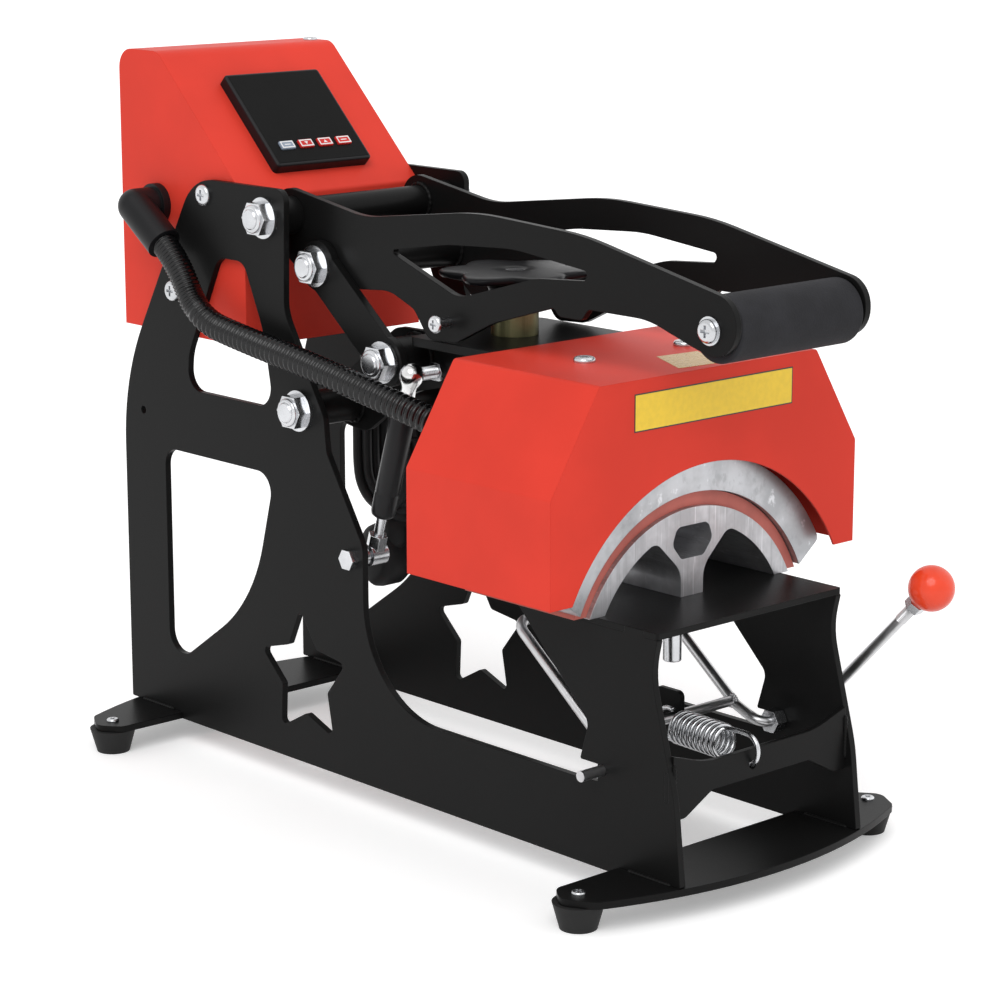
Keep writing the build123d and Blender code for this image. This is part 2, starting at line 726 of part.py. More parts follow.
def link_plate(x0, x1):
    """Link between the handle and the press arm, with two eyes."""
    length = hypot(link_top[0] - link_bottom[0], link_top[1] - link_bottom[1])
    turn = degrees(atan2(link_top[1] - link_bottom[1], link_top[0] - link_bottom[0]))
    middle = ((link_top[0] + link_bottom[0]) / 2, (link_top[1] + link_bottom[1]) / 2)
    with BuildSketch() as shape:
        with Locations(middle):
            SlotCenterToCenter(length, 2 * link_waist, rotation=turn)
        with Locations(link_top, link_bottom):
            Circle(link_lobe)
    with BuildPart() as link:
        slab_x(x0, x1, shape.sketch)
        bar_x(x0, x1, link_top, bolt_radius, Mode.SUBTRACT)
        bar_x(x0, x1, link_bottom, bolt_radius + fit, Mode.SUBTRACT)
    return link.part


with BuildPart() as links:
    add(link_plate(-link_out, -link_in))
    add(link_plate(link_in, link_out))
save(links.part, "links")

with BuildPart() as link_top_bolts:
    for side in (-1, 1):
        fastener_x(side, link_out, link_top)
        bar_x(side * link_in, side * (link_out + 1.0), link_top, bolt_radius)
save(link_top_bolts.part, "link_top_bolts")

with BuildPart() as link_lower_bolt:
    for side in (-1, 1):
        fastener_x(side, link_out + clear, link_bottom)
    bar_x(-link_out - 1.0, link_out + 1.0, link_bottom, bolt_radius)
save(link_lower_bolt.part, "link_lower_bolt")

with BuildPart() as pivot_bolts:
    for at in (handle_pivot, arm_pivot):
        for side in (-1, 1):
            fastener_x(side, side_out, at)
        bar_x(-side_out - 1.0, side_out + 1.0, at, bolt_radius)
save(pivot_bolts.part, "pivot_bolts")

# ---------------------------------------------------------------- press arm
cheek_in = 28.0
cheek_out = cheek_in + plate
arm_tube_radius = 13.0
hub_radius = 10.5
CHEEK_OUTLINE = [
    (84.0, 238.0, 11.0),
    (86.0, 213.5, 13.0),
    (58.0, 210.5, 14.0),
    (16.0, 240.0, 40.0),
    (-52.0, 256.0, 8.0),
    (-60.0, beam_bottom, 0.0),
    (beam_rear + 0.3, beam_bottom, 0.0),
    (6.0, 276.5, 8.0),
    (30.0, 276.0, 14.0),
]
gas_ball_x = 54.5
gas_upper = (-8.5, 255.5)
upper_stud_radius = 3.5


def cheek(x0, x1, gas_side):
    """One cheek of the press arm, from the rear hub to the beam."""
    with BuildPart() as part:
        slab_x(x0, x1, outline(CHEEK_OUTLINE))
        bar_x(x0, x1, arm_pivot, hub_radius, Mode.SUBTRACT)
        bar_x(x0, x1, link_bottom, arm_tube_radius, Mode.SUBTRACT)
        if gas_side:
            bar_x(x0, x1, gas_upper, upper_stud_radius, Mode.SUBTRACT)
    return part.part


with BuildPart() as arm_cheeks:
    add(cheek(-cheek_out, -cheek_in, True))
    add(cheek(cheek_in, cheek_out, False))
save(arm_cheeks.part, "arm_cheeks")

with BuildPart() as arm_hub:
    bar_x(-side_in + clear, side_in - clear, arm_pivot, hub_radius)
    bar_x(-side_in + clear, side_in - clear, arm_pivot, bolt_radius + fit, Mode.SUBTRACT)
save(arm_hub.part, "arm_hub")

with BuildPart() as arm_nose_tube:
    bar_x(-arm_out, arm_out, link_bottom, arm_tube_radius)
    bar_x(-arm_out, arm_out, link_bottom, bolt_radius, Mode.SUBTRACT)
save(arm_nose_tube.part, "arm_nose_tube")

cover_screw_at = [(-38.0, -130.0), (38.0, -130.0)]
cover_screw_radius = 3.0
with BuildPart() as beam_plate:
    block(-beam_half, beam_half, cover_front + 9.0, beam_rear, beam_bottom, beam_top)
    fillet(beam_plate.edges().filter_by(Axis.Z), 5.0)
    bar_z(beam_bottom, beam_top, (0, adjuster_y), spindle_radius + fit, Mode.SUBTRACT)
    for at in cover_screw_at:
        bar_z(beam_bottom, beam_top, at, cover_screw_radius, Mode.SUBTRACT)
save(beam_plate.part, "beam_plate")

# ---------------------------------------------------------------- pressure adjuster
collar_radius = 13.5
collar_top = 291.5
with BuildPart() as adjuster_collar:
    bar_z(beam_top, collar_top, (0, adjuster_y), collar_radius)
    bar_z(beam_top, collar_top, (0, adjuster_y), spindle_radius + fit, Mode.SUBTRACT)
save(adjuster_collar.part, "adjuster_collar")

with BuildPart() as pressure_spindle:
    bar_z(beam_bottom - 12.0, knob_bottom + knob_height - 4.0, (0, adjuster_y), spindle_radius)
save(pressure_spindle.part, "pressure_spindle")

lobe_radius = 12.5
with BuildPart() as pressure_knob:
    with BuildSketch(Plane.XY.offset(knob_bottom)):
        with Locations((0, adjuster_y)):
            Circle(knob_radius - 8.0)
            with PolarLocations(knob_radius - lobe_radius, knob_lobes):
                Circle(lobe_radius)
            with PolarLocations(knob_radius + 3.5, knob_lobes, start_angle=180.0 / knob_lobes):
                Circle(11.0, mode=Mode.SUBTRACT)
    extrude(amount=knob_height)
    fillet(pressure_knob.faces().sort_by(Axis.Z)[-1].edges(), 3.0)
    bar_z(knob_bottom, knob_bottom + knob_height - 4.0, (0, adjuster_y), spindle_radius + fit, Mode.SUBTRACT)
    bar_z(knob_bottom + knob_height - 2.0, knob_bottom + knob_height, (0, adjuster_y), 6.0, Mode.SUBTRACT)
save(pressure_knob.part, "pressure_knob")

# ---------------------------------------------------------------- head: cover, platen, shield
COVER_OUTLINE = [
    (-cover_half, cover_bottom, 0.0),
    (-cover_half, cover_shoulder, 3.0),
    (-cover_top_half, cover_top, 3.0),
    (cover_top_half, cover_top, 3.0),
    (cover_half, cover_shoulder, 3.0),
    (cover_half, cover_bottom, 0.0),
]
COVER_INSIDE = [
    (-cover_half + cover_sheet, cover_bottom - 1.0, 0.0),
    (-cover_half + cover_sheet, cover_shoulder - 0.35, 1.8),
    (-cover_top_half + 0.65, cover_top - cover_sheet, 1.8),
    (cover_top_half - 0.65, cover_top - cover_sheet, 1.8),
    (cover_half - cover_sheet, cover_shoulder - 0.35, 1.8),
    (cover_half - cover_sheet, cover_bottom - 1.0, 0.0),
]
conduit_end = (-64.0, 232.0)
conduit_bore = 7.0
with BuildPart() as head_cover:
    slab_y(cover_rear, cover_front, outline(COVER_OUTLINE))
    slab_y(cover_rear - cover_sheet, cover_front + cover_sheet, outline(COVER_INSIDE), Mode.SUBTRACT)
    with BuildSketch(Plane.XZ.offset(-cover_rear)):
        with Locations((0, arch_centre)):
            Circle(arch_radius)
    extrude(amount=cover_rear - cover_front, mode=Mode.SUBTRACT)
    block(-beam_half, beam_half, cover_rear - 3.0, cover_rear, beam_bottom - 1.0, beam_top, Mode.SUBTRACT)
    for at in cover_screw_at:
        bar_z(beam_top, cover_top, at, cover_screw_radius, Mode.SUBTRACT)
    with BuildSketch(Plane.XZ.offset(-cover_rear)):
        with Locations(conduit_end):
            Circle(conduit_bore)
    extrude(amount=3.0, mode=Mode.SUBTRACT)
save(head_cover.part, "head_cover")

with BuildPart() as cover_screws:
    for at in cover_screw_at:
        bar_z(beam_bottom - 3.0, cover_top, at, cover_screw_radius)
        head_z(cover_top, at, 6.0, 2.8)
save(cover_screws.part, "cover_screws")

platen_front = cover_front + 11.0
platen_half = 99.0
platen_foot_half = 84.5
platen_low = table_top + 2.4
platen_shoulder = platen_low + 12.0
platen_high = form_centre + 2 * platen_radius
boss_half = 38.0
boss_top = form_centre + platen_radius + 4.2
with BuildPart() as heating_platen:
    with BuildSketch(Plane.XZ.offset(-form_rear)) as platen_face:
        with Locations((0, form_centre)):
            Circle(platen_radius)
        with Locations((0, (form_centre + platen_radius + boss_top) / 2 - 10.0)):
            Rectangle(2 * boss_half, boss_top - form_centre - platen_radius + 20.0)
        with Locations((0, form_centre)):
            Circle(platen_inner, mode=Mode.SUBTRACT)
        add(outline([(-platen_half, platen_high, 0), (-platen_half, platen_shoulder, 2.0),
                     (-platen_foot_half, platen_low + 0.5, 2.0), (0, platen_low, 0),
                     (platen_foot_half, platen_low + 0.5, 2.0), (platen_half, platen_shoulder, 2.0),
                     (platen_half, platen_high, 0)]), mode=Mode.INTERSECT)
    extrude(amount=form_rear - platen_front)
save(heating_platen.part, "heating_platen")

post_x = 28.0
post_y = 25.0
post_places = [(x, head_middle + y) for x in (-post_x, post_x) for y in (-post_y, post_y)]
shield_bottom = boss_top + 18.0
shield_margin = 10.0
with BuildPart() as platen_posts:
    for at in post_places:
        bar_z(boss_top, beam_bottom, at, 5.0)
save(platen_posts.part, "platen_posts")

with BuildPart() as heat_shield:
    block(-post_x - 3 * shield_margin, post_x + 3 * shield_margin, head_middle - post_y - shield_margin,
          head_middle + post_y + shield_margin, shield_bottom, shield_bottom + 2.0)
    for at in post_places:
        bar_z(shield_bottom, shield_bottom + 2.0, at, 5.0, Mode.SUBTRACT)
save(heat_shield.part, "heat_shield")

# ---------------------------------------------------------------- gas spring
gas_length = hypot(gas_upper[0] - gas_lower[0], gas_upper[1] - gas_lower[1])
gas_axis = Vector(0, gas_upper[0] - gas_lower[0], gas_upper[1] - gas_lower[1]) / gas_length
gas_plane = Plane(origin=(-gas_ball_x, gas_lower[0], gas_lower[1]), x_dir=(1, 0, 0),
                  z_dir=gas_axis)
gas_cylinder_radius = 7.6
gas_rod_radius = 3.0
socket_radius = 6.2
cylinder_start = 24.0
cylinder_end = 92.0

with BuildPart() as gas_rod:
    with BuildSketch(gas_plane.offset(11.0)):
        Circle(gas_rod_radius)
    extrude(amount=72.0)
    with BuildSketch(gas_plane.offset(4.0)):
        RegularPolygon(5.0, 6, major_radius=False)
    extrude(amount=9.0)
    bar_x(-gas_ball_x - socket_radius + 1.0, -gas_ball_x + socket_radius, gas_lower, socket_radius)
    bar_x(-gas_ball_x - socket_radius, -gas_ball_x + socket_radius - 4.0, gas_lower, 3.0 + fit, Mode.SUBTRACT)
save(gas_rod.part, "gas_rod")

with BuildPart() as gas_cylinder:
    with BuildSketch(gas_plane.offset(cylinder_start)):
        Circle(gas_cylinder_radius)
    extrude(amount=cylinder_end - cylinder_start)
    ends = gas_cylinder.faces().filter_by(GeomType.PLANE).edges()
    fillet(ends, 2.5)
    with BuildSketch(gas_plane.offset(cylinder_start)):
        Circle(gas_rod_radius + fit)
    extrude(amount=cylinder_end - cylinder_start - 4.0, mode=Mode.SUBTRACT)
    with BuildSketch(gas_plane.offset(cylinder_end)):
        RegularPolygon(4.0, 6, major_radius=False)
    extrude(amount=gas_length - cylinder_end - 3.0)
    bar_x(-gas_ball_x - socket_radius, -gas_ball_x + socket_radius, gas_upper, socket_radius)
save(gas_cylinder.part, "gas_cylinder")

with BuildPart() as gas_stud_lower:
    bar_x(-side_out, -side_in, gas_lower, gas_stud_radius)
    hex_x(-side_out - 5.0, -side_out, gas_lower, 11.0)
    bar_x(-side_in, -gas_ball_x - socket_radius - 0.5, gas_lower, 5.0)
    bar_x(-side_in, -gas_ball_x + socket_radius - 4.5, gas_lower, 3.0)
save(gas_stud_lower.part, "gas_stud_lower")

with BuildPart() as gas_stud_upper:
    bar_x(-cheek_in, -gas_ball_x + socket_radius + clear, gas_upper, upper_stud_radius)
    hex_x(-cheek_out, -cheek_out - 5.0, gas_upper, 10.0)
save(gas_stud_upper.part, "gas_stud_upper")

# ---------------------------------------------------------------- hold-down
hold_low = (-160.0, 76.8)
hold_high = (-92.0, 129.5)
ball_at = (-261.2, 154.8)
lever_length = hypot(ball_at[0] - hold_pivot[0], ball_at[1] - hold_pivot[1])
lever_way = ((ball_at[0] - hold_pivot[0]) / lever_length, (ball_at[1] - hold_pivot[1]) / lever_length)
lever_end = (ball_at[0] - lever_way[0], ball_at[1] - lever_way[1])
crossbar_at = (-158.0, 78.4)
bend = 8.0

with BuildPart() as hold_down_frame:
    with BuildLine() as wire_path:
        FilletPolyline(
            (-87.0, *hold_pivot), (-hold_half, *hold_pivot), (-hold_half, *hold_low),
            (-hold_half, *hold_high), (hold_half, *hold_high), (hold_half, *hold_low),
            (hold_half, *hold_pivot), (lever_x, *hold_pivot), (lever_x, *lever_end),
            radius=[bend, 10.0, bend, bend, 10.0, bend, bend])
    with BuildSketch(Plane.YZ.offset(-87.0)):
        with Locations(hold_pivot):
            Circle(hold_wire)
    sweep()
    bar_x(-hold_half, hold_half, crossbar_at, hold_wire)
save(hold_down_frame.part, "hold_down_frame")

TAB = [(-5.5, -5.4, 1.0), (12.0, -5.4, 1.0), (12.0, 15.1, 1.0), (-5.5, 15.1, 3.5)]
with BuildPart() as hold_down_tab:
    slab_x(4.5, 7.5, outline([(crossbar_at[0] + y, crossbar_at[1] + z, radius) for y, z, radius in TAB]))
    bar_x(4.5, 7.5, crossbar_at, hold_wire, Mode.SUBTRACT)
save(hold_down_tab.part, "hold_down_tab")

lever_plane = Plane(origin=(lever_x, *ball_at), x_dir=(1, 0, 0), z_dir=(0, *lever_way))
with BuildPart() as ball_knob:
    with Locations((lever_x, *ball_at)):
        Sphere(ball_radius)
    with BuildSketch(lever_plane.offset(-ball_radius)):
        Circle(5.0)
    extrude(amount=4.0)
    with BuildSketch(lever_plane.offset(-ball_radius - 1.0)):
        Circle(hold_wire)
    extrude(amount=ball_radius + 1.0, mode=Mode.SUBTRACT)
save(ball_knob.part, "ball_knob")

with BuildPart() as hold_down_nuts:
    with BuildSketch(lever_plane.offset(-ball_radius - 5.2)):
        RegularPolygon(5.0, 6, major_radius=False)
        Circle(hold_wire, mode=Mode.SUBTRACT)
    extrude(amount=5.0)
    for side in (-1, 1):
        hex_x(side * (side_in - clear - 8.0), side * (side_in - clear), hold_pivot, 12.0)
        bar_x(side * (side_in - clear - 8.0), side * (side_in - clear), hold_pivot, hold_wire, Mode.SUBTRACT)
save(hold_down_nuts.part, "hold_down_nuts")

# extension spring: a full loop over the crossbar and a full loop through the cross plate
spring_wire = 1.15
wire_sides = 8           # the wire's section is drawn as an octagon, which keeps the coil light
spring_coil = 8.6
spring_turns = 9.5
hook_run = 7.6           # straight wire between a loop and the coil
loop_rear = Vector(-3.0, crossbar_at[0] + hold_wire + 0.3 + spring_wire - spring_coil, crossbar_at[1] - 1.0)
loop_front = Vector(hook_hole[0], cross_front + 4.4, hook_hole[1] + 7.3)
spring_axis = loop_front - loop_rear
coil_length = spring_axis.length - 2 * hook_run


def end_loop(centre, side):
    """Wire hook: a straight run from the coil, then most of a turn; side is 1 in front, -1 at the rear."""
    loop_plane = Plane(origin=centre, x_dir=spring_axis, z_dir=spring_axis.cross(Vector(0, 0, 1)))
    with BuildPart() as hook:
        with BuildLine(loop_plane) as hook_path:
            Line((-side * hook_run, side * spring_coil), (0, side * spring_coil))
            CenterArc((0, 0), spring_coil, side * 90.0, -200.0)
        with BuildSketch(Plane(origin=hook_path.line @ 0, z_dir=hook_path.line % 0)) as hook_end:
            RegularPolygon(spring_wire, wire_sides)
        sweep()
    return hook.part


with BuildPart() as coil:
    with BuildLine() as coil_path:
        Helix(coil_length / spring_turns, coil_length, spring_coil)
    with BuildSketch(Plane(origin=coil_path.line @ 0, z_dir=coil_path.line % 0)):
        RegularPolygon(spring_wire, wire_sides)
    sweep(is_frenet=True)
coil_plane = Plane(origin=loop_rear + spring_axis.normalized() * hook_run,
                   x_dir=spring_axis.cross(spring_axis.cross(Vector(0, 0, 1))), z_dir=spring_axis)
with BuildPart() as hold_down_spring:
    add(coil_plane.location * coil.part)
    add(end_loop(loop_rear, -1))
    add(end_loop(loop_front, 1))
save(hold_down_spring.part, "hold_down_spring")

# ---------------------------------------------------------------- conduit
conduit_radius = 8.8
elbow_x = 84.0
elbow_out = (-elbow_x, elbow_at[0] - 27.9, elbow_at[1] - 19.8)
elbow_run = 17.0         # straight run of the conduit before its first bend
collar_height = 6.0
with BuildPart() as conduit_elbow:
    bar_x(-side_in + sheet, -side_in, elbow_at, elbow_bore)
    bar_x(-side_in + sheet + 4.0, -side_in + sheet, elbow_at, 11.0)
    bar_x(-side_in, -side_in - 5.0, elbow_at, 12.5)
    bar_x(-side_in - 5.0, -elbow_x, elbow_at, 10.5)
    with Locations((-elbow_x, *elbow_at)):
        Sphere(10.5)
    elbow_dir = Vector(0, elbow_out[1] - elbow_at[0], elbow_out[2] - elbow_at[1])
    with BuildSketch(Plane(origin=(-elbow_x, *elbow_at), x_dir=(1, 0, 0), z_dir=elbow_dir)):
        Circle(10.5)
    extrude(amount=elbow_dir.length)
save(conduit_elbow.part, "conduit_elbow")

elbow_next = Vector(*elbow_out) + elbow_dir.normalized() * elbow_run
CONDUIT_ROUTE = [
    elbow_out,
    tuple(elbow_next),
    (-84.0, 149.0, 272.0),
    (-83.0, 106.0, 264.8),
    (-81.0, 53.0, 257.5),
    (-77.0, 4.0, 248.0),
    (-68.5, -40.0, 236.5),
    (conduit_end[0], cover_rear + collar_height + 12.0, conduit_end[1]),
    (conduit_end[0], cover_rear + collar_height, conduit_end[1]),
]


def route_radii(points):
    """One radius for each corner: as large as its two runs allow."""
    radii = []
    for before, here, after in zip(points, points[1:], points[2:]):
        run_in = Vector(*here) - Vector(*before)
        run_out = Vector(*after) - Vector(*here)
        turn = radians(run_in.get_angle(run_out))
        radii.append(0.45 * min(run_in.length, run_out.length) / (sin(turn / 2) / cos(turn / 2)))
    return radii


def tube_along(points, radius):
    """Solid round tube along straight runs joined by tangent arcs."""
    start = Vector(*points[1]) - Vector(*points[0])
    with BuildPart() as tube:
        with BuildLine() as path:
            FilletPolyline(points, radius=route_radii(points))
        with BuildSketch(Plane(origin=points[0], z_dir=start)) as section:
            Circle(radius)
        sweep()
    length = sum(edge.length for edge in path.edges())
    ratio = tube.part.volume / (pi * radius ** 2 * length)
    print("route length", round(length, 1), "volume ratio", round(ratio, 4))
    print("radii", [round(r, 1) for r in route_radii(points)])
    return tube.part


save(tube_along(CONDUIT_ROUTE, conduit_radius), "conduit")

with BuildPart() as conduit_collar:
    with BuildSketch(Plane.XZ.offset(-cover_rear - collar_height)):
        with Locations(conduit_end):
            Circle(conduit_radius + 2.2)
    extrude(amount=collar_height)
    with BuildSketch(Plane.XZ.offset(-cover_rear)):
        with Locations(conduit_end):
            Circle(conduit_bore)
    extrude(amount=cover_sheet + 4.0)
save(conduit_collar.part, "conduit_collar")

# ---------------------------------------------------------------- power cord hank
hank_x = gland_at[0] + 2.0
CORD_ROUTE = [
    (gland_at[0], gland_at[1], box_bottom - 10.0),
    (gland_at[0], gland_at[1], box_bottom - 17.0),
    (gland_at[0] + 1.5, gland_at[1] + 1.0, box_bottom - 27.0),
]
save(tube_along(CORD_ROUTE, cord_radius), "power_cord")

hank_centre = (124.0, 186.0)
hank_width = 58.0
hank_height = 92.0
with BuildPart() as cord_hank:
    with BuildSketch(Plane.YZ.offset(hank_x - 10.0)):
        with Locations(hank_centre):
            SlotOverall(hank_height, hank_width, rotation=90)
            SlotOverall(hank_height - 30.0, hank_width - 30.0, rotation=90, mode=Mode.SUBTRACT)
    extrude(amount=20.0)
save(cord_hank.part, "cord_hank")

with BuildPart() as power_plug:
    slab_x(hank_x - 17.0, hank_x + 17.0, outline([
        (101.0, 130.0, 6.0), (101.0, 96.0, 14.0), (141.0, 92.0, 16.0), (142.0, 130.0, 6.0)]))
    bar_z(128.0, 140.0, (hank_x, 112.0), 5.0)
save(power_plug.part, "power_plug")
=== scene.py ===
"""Cap heat press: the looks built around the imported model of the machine."""
import math

import bmesh
import bpy
from bpy.props import FloatProperty, FloatVectorProperty, IntProperty, PointerProperty
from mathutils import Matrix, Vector


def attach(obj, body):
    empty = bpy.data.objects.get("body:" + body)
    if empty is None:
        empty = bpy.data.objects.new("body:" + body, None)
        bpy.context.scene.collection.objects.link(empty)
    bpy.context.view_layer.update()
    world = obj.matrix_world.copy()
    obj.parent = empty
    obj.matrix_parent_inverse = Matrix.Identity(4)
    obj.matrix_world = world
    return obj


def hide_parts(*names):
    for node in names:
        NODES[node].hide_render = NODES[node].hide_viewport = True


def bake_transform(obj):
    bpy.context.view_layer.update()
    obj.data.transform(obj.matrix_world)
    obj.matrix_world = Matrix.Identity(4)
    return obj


bl_info = {
    "name": "Cap Heat Press",
    "version": (1, 0, 0),
    "blender": (4, 5, 0),
    "location": "View3D > Sidebar > Heat Press",
    "description": "Dresses a clamshell cap heat press with finishes and fittings",
    "category": "Object",
}

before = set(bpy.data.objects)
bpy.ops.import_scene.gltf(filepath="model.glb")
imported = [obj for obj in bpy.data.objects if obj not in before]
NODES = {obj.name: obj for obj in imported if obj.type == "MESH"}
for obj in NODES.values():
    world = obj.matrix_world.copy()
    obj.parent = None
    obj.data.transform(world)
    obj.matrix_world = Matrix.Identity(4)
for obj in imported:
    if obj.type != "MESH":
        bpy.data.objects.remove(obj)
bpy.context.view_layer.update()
MM = 0.001


def mm(*values):
    """A point given in millimetres, as a Vector in metres."""
    return Vector([value * MM for value in values])


# ------------------------------------------------------------------ shader arithmetic
class Signal:
    """A shader socket that takes part in arithmetic; every operation adds one Math node."""

    def __init__(self, shading, socket):
        self.shading = shading
        self.socket = socket

    def math(self, operation, *terms):
        settings = {"operation": operation}
        return self.shading.node("ShaderNodeMath", settings, dict(enumerate(terms)))["Value"]

    def __add__(self, other):
        return self.math("ADD", self, other)

    def __sub__(self, other):
        return self.math("SUBTRACT", self, other)

    def __rsub__(self, other):
        return self.math("SUBTRACT", other, self)

    def __mul__(self, other):
        return self.math("MULTIPLY", self, other)

    __radd__ = __add__
    __rmul__ = __mul__

    def most(self, other):
        return self.math("MAXIMUM", self, other)

    def above(self, low, high):
        """0 below low, 1 above high, smooth between."""
        return self.shading.node(
            "ShaderNodeMapRange",
            {"interpolation_type": "SMOOTHSTEP"},
            {"Value": self, "From Min": low, "From Max": high},
        )["Result"]


class Shading:
    """One node tree, and the one way to add nodes to it."""

    def __init__(self, tree):
        self.tree = tree

    def connect(self, socket, value):
        """Puts a number, a colour or a Signal on a socket."""
        if isinstance(value, Signal):
            self.tree.links.new(value.socket, socket)
        else:
            socket.default_value = value

    def node(self, kind, settings=None, values=None):
        """Adds a node, sets it up, feeds its sockets, and returns its outputs by name."""
        node = self.tree.nodes.new(kind)
        for key, value in (settings or {}).items():
            setattr(node, key, value)
        for key, value in (values or {}).items():
            if isinstance(key, int):
                socket = node.inputs[key]
            else:
                socket = next(s for s in node.inputs if s.enabled and s.name == key)
            self.connect(socket, value)
        return {s.name: Signal(self, s) for s in node.outputs if s.enabled}

    def seen(self):
        """1 for rays of the camera, of a reflection or through glass, and 0 for rays of light."""
        rays = self.node("ShaderNodeLightPath")
        return rays["Is Camera Ray"].most(rays["Is Glossy Ray"]).most(rays["Is Transmission Ray"])


class Finish(Shading):
    """One material: a Principled shader and the nodes that vary it over the surface."""

    def __init__(self, name, color, roughness, metallic=0.0, **constants):
        self.material = bpy.data.materials.new(name)
        self.material.use_nodes = True
        super().__init__(self.material.node_tree)
        self.shader = self.tree.nodes["Principled BSDF"]
        self.set("Base Color", (*color, 1.0))
        self.set("Roughness", roughness)
        self.set("Metallic", metallic)
        for socket, value in constants.items():
            self.set(socket.replace("_", " "), value)

    def set(self, socket, value):
        """Puts a number, a colour or a Signal on one socket of the shader."""
        self.connect(self.shader.inputs[socket], value)

    def place(self, scale=(1.0, 1.0, 1.0)):
        """Object coordinates in metres, stretched by scale."""
        where = self.node("ShaderNodeTexCoord")["Object"]
        return self.node("ShaderNodeMapping", None, {"Vector": where, "Scale": scale})["Vector"]

    def noise(self, scale, detail=3.0, roughness=0.55, stretch=(1.0, 1.0, 1.0)):
        where = self.place(stretch)
        values = {"Vector": where, "Scale": scale, "Detail": detail, "Roughness": roughness}
        return self.node("ShaderNodeTexNoise", None, values)["Fac"]

    def mix(self, factor, first, second):
        """A colour between first and second; each is a colour or a Signal."""
        first, second = (c if isinstance(c, Signal) else (*c, 1.0) for c in (first, second))
        values = {"Factor": factor, "A": first, "B": second}
        return self.node("ShaderNodeMix", {"data_type": "RGBA"}, values)["Result"]

    def tones(self, mask, color, dark, light):
        """The colour, from dark to light times its strength, as the mask goes from 0 to 1."""
        return self.mix(mask, shade(color, dark), shade(color, light))

    def bump(self, height, distance, strength=1.0, rounded=0.0):
        """Feeds Normal: height as a bump of that depth in metres, with edges rounded that far."""
        values = {"Height": height, "Distance": distance, "Strength": strength}
        if rounded:
            edge = self.node("ShaderNodeBevel", {"samples": 4}, {"Radius": rounded})
            values["Normal"] = edge["Normal"]
        self.set("Normal", self.node("ShaderNodeBump", None, values)["Normal"])
        return self


def shade(color, factor):
    return tuple(min(1.0, channel * factor) for channel in color)


def powder_coat(name, color, roughness, dust):
    """Satin powder coat: fine orange peel, slow changes of gloss, and pale dust in the open."""
    coat = Finish(name, color, roughness, Specular_IOR_Level=0.09)
    cloud = coat.noise(9.0, 4.0)
    grain = coat.noise(900.0, 2.0)
    tone = coat.tones(cloud.above(0.35, 0.7), color, 0.93, 1.06)
    coat.set("Base Color", coat.mix(grain.above(0.62, 0.8) * dust, tone, (0.5, 0.5, 0.5)))
    coat.set("Roughness", cloud * 0.1 + grain * 0.08 + (roughness - 0.09))
    return coat.bump(coat.noise(420.0, 2.0) * 0.7 + grain * 0.3, 0.0001, 0.3, 0.0007)


def bright_zinc(name, color, roughness):
    """Zinc plating: bright, faintly mottled, with darker and paler patches."""
    zinc = Finish(name, color, roughness, 1.0)
    patches = zinc.noise(60.0, 3.0)
    fine = zinc.noise(700.0, 3.0)
    zinc.set("Base Color", zinc.tones(patches.above(0.3, 0.7), color, 0.86, 1.05))
    zinc.set("Roughness", patches * 0.14 + fine * 0.10 + (roughness - 0.1))
    return zinc.bump(fine * 0.3 + patches * 0.7, 0.00003, 0.15, 0.0003)


def machined_aluminium(name, color, along):
    """Sawn and milled aluminium with cutter marks that run along one direction."""
    metal = Finish(name, color, 0.36, 0.8)
    marks = metal.noise(1.0, 4.0, 0.7, along)
    stains = metal.noise(32.0, 4.0, 0.6)
    pits = metal.noise(480.0, 2.0)
    tone = metal.tones(stains.above(0.36, 0.66), color, 0.78, 1.14)
    scratched = metal.mix(marks.above(0.52, 0.64) * 0.45, tone, shade(color, 0.60))
    bright = (1 - marks.above(0.30, 0.40)) * 0.6
    metal.set("Base Color", metal.mix(bright, scratched, shade(color, 1.7)))
    metal.set("Roughness", marks * 0.2 + stains * 0.15 + 0.20)
    return metal.bump(marks * 0.6 + pits * 0.15 + stains * 0.25, 0.0003, 0.5, 0.0004)


def moulded(name, color, roughness, grain=650.0, depth=0.00006, rounded=0.0004, gloss=0.2):
    """Moulded plastic or rubber with a fine even grain."""
    plastic = Finish(name, color, roughness, Specular_IOR_Level=gloss)
    speck = plastic.noise(grain, 2.0)
    slow = plastic.noise(30.0, 3.0)
    plastic.set("Base Color", plastic.tones(slow.above(0.3, 0.7), color, 0.9, 1.12))
    plastic.set("Roughness", slow * 0.08 + speck * 0.06 + (roughness - 0.07))
    return plastic.bump(speck, depth, 0.5, rounded)


def silicone(name, color):
    """Silicone rubber sheet: matt, with soft pressed marks."""
    rubber = Finish(name, color, 0.62, Specular_IOR_Level=0.4)
    marks = rubber.noise(38.0, 4.0)
    speck = rubber.noise(520.0, 2.0)
    rubber.set("Base Color", rubber.tones(marks.above(0.3, 0.72), color, 0.86, 1.1))
    rubber.set("Roughness", marks * 0.16 + 0.52)
    return rubber.bump(marks * 0.5 + speck * 0.5, 0.0002, 0.4, 0.0004)


def foam(name, color):
    """Closed-cell foam: matt, with small open cells."""
    soft = Finish(name, color, 0.85, Specular_IOR_Level=0.25)
    where = {"Vector": soft.place(), "Scale": 900.0}
    cells = soft.node("ShaderNodeTexVoronoi", {"feature": "F1"}, where)["Distance"]
    slow = soft.noise(50.0, 3.0)
    soft.set("Base Color", soft.tones(slow.above(0.3, 0.7), color, 0.8, 1.25))
    soft.set("Roughness", slow * 0.1 + 0.78)
    return soft.bump(cells * 0.7 + slow * 0.3, 0.0003, 0.6, 0.0006)


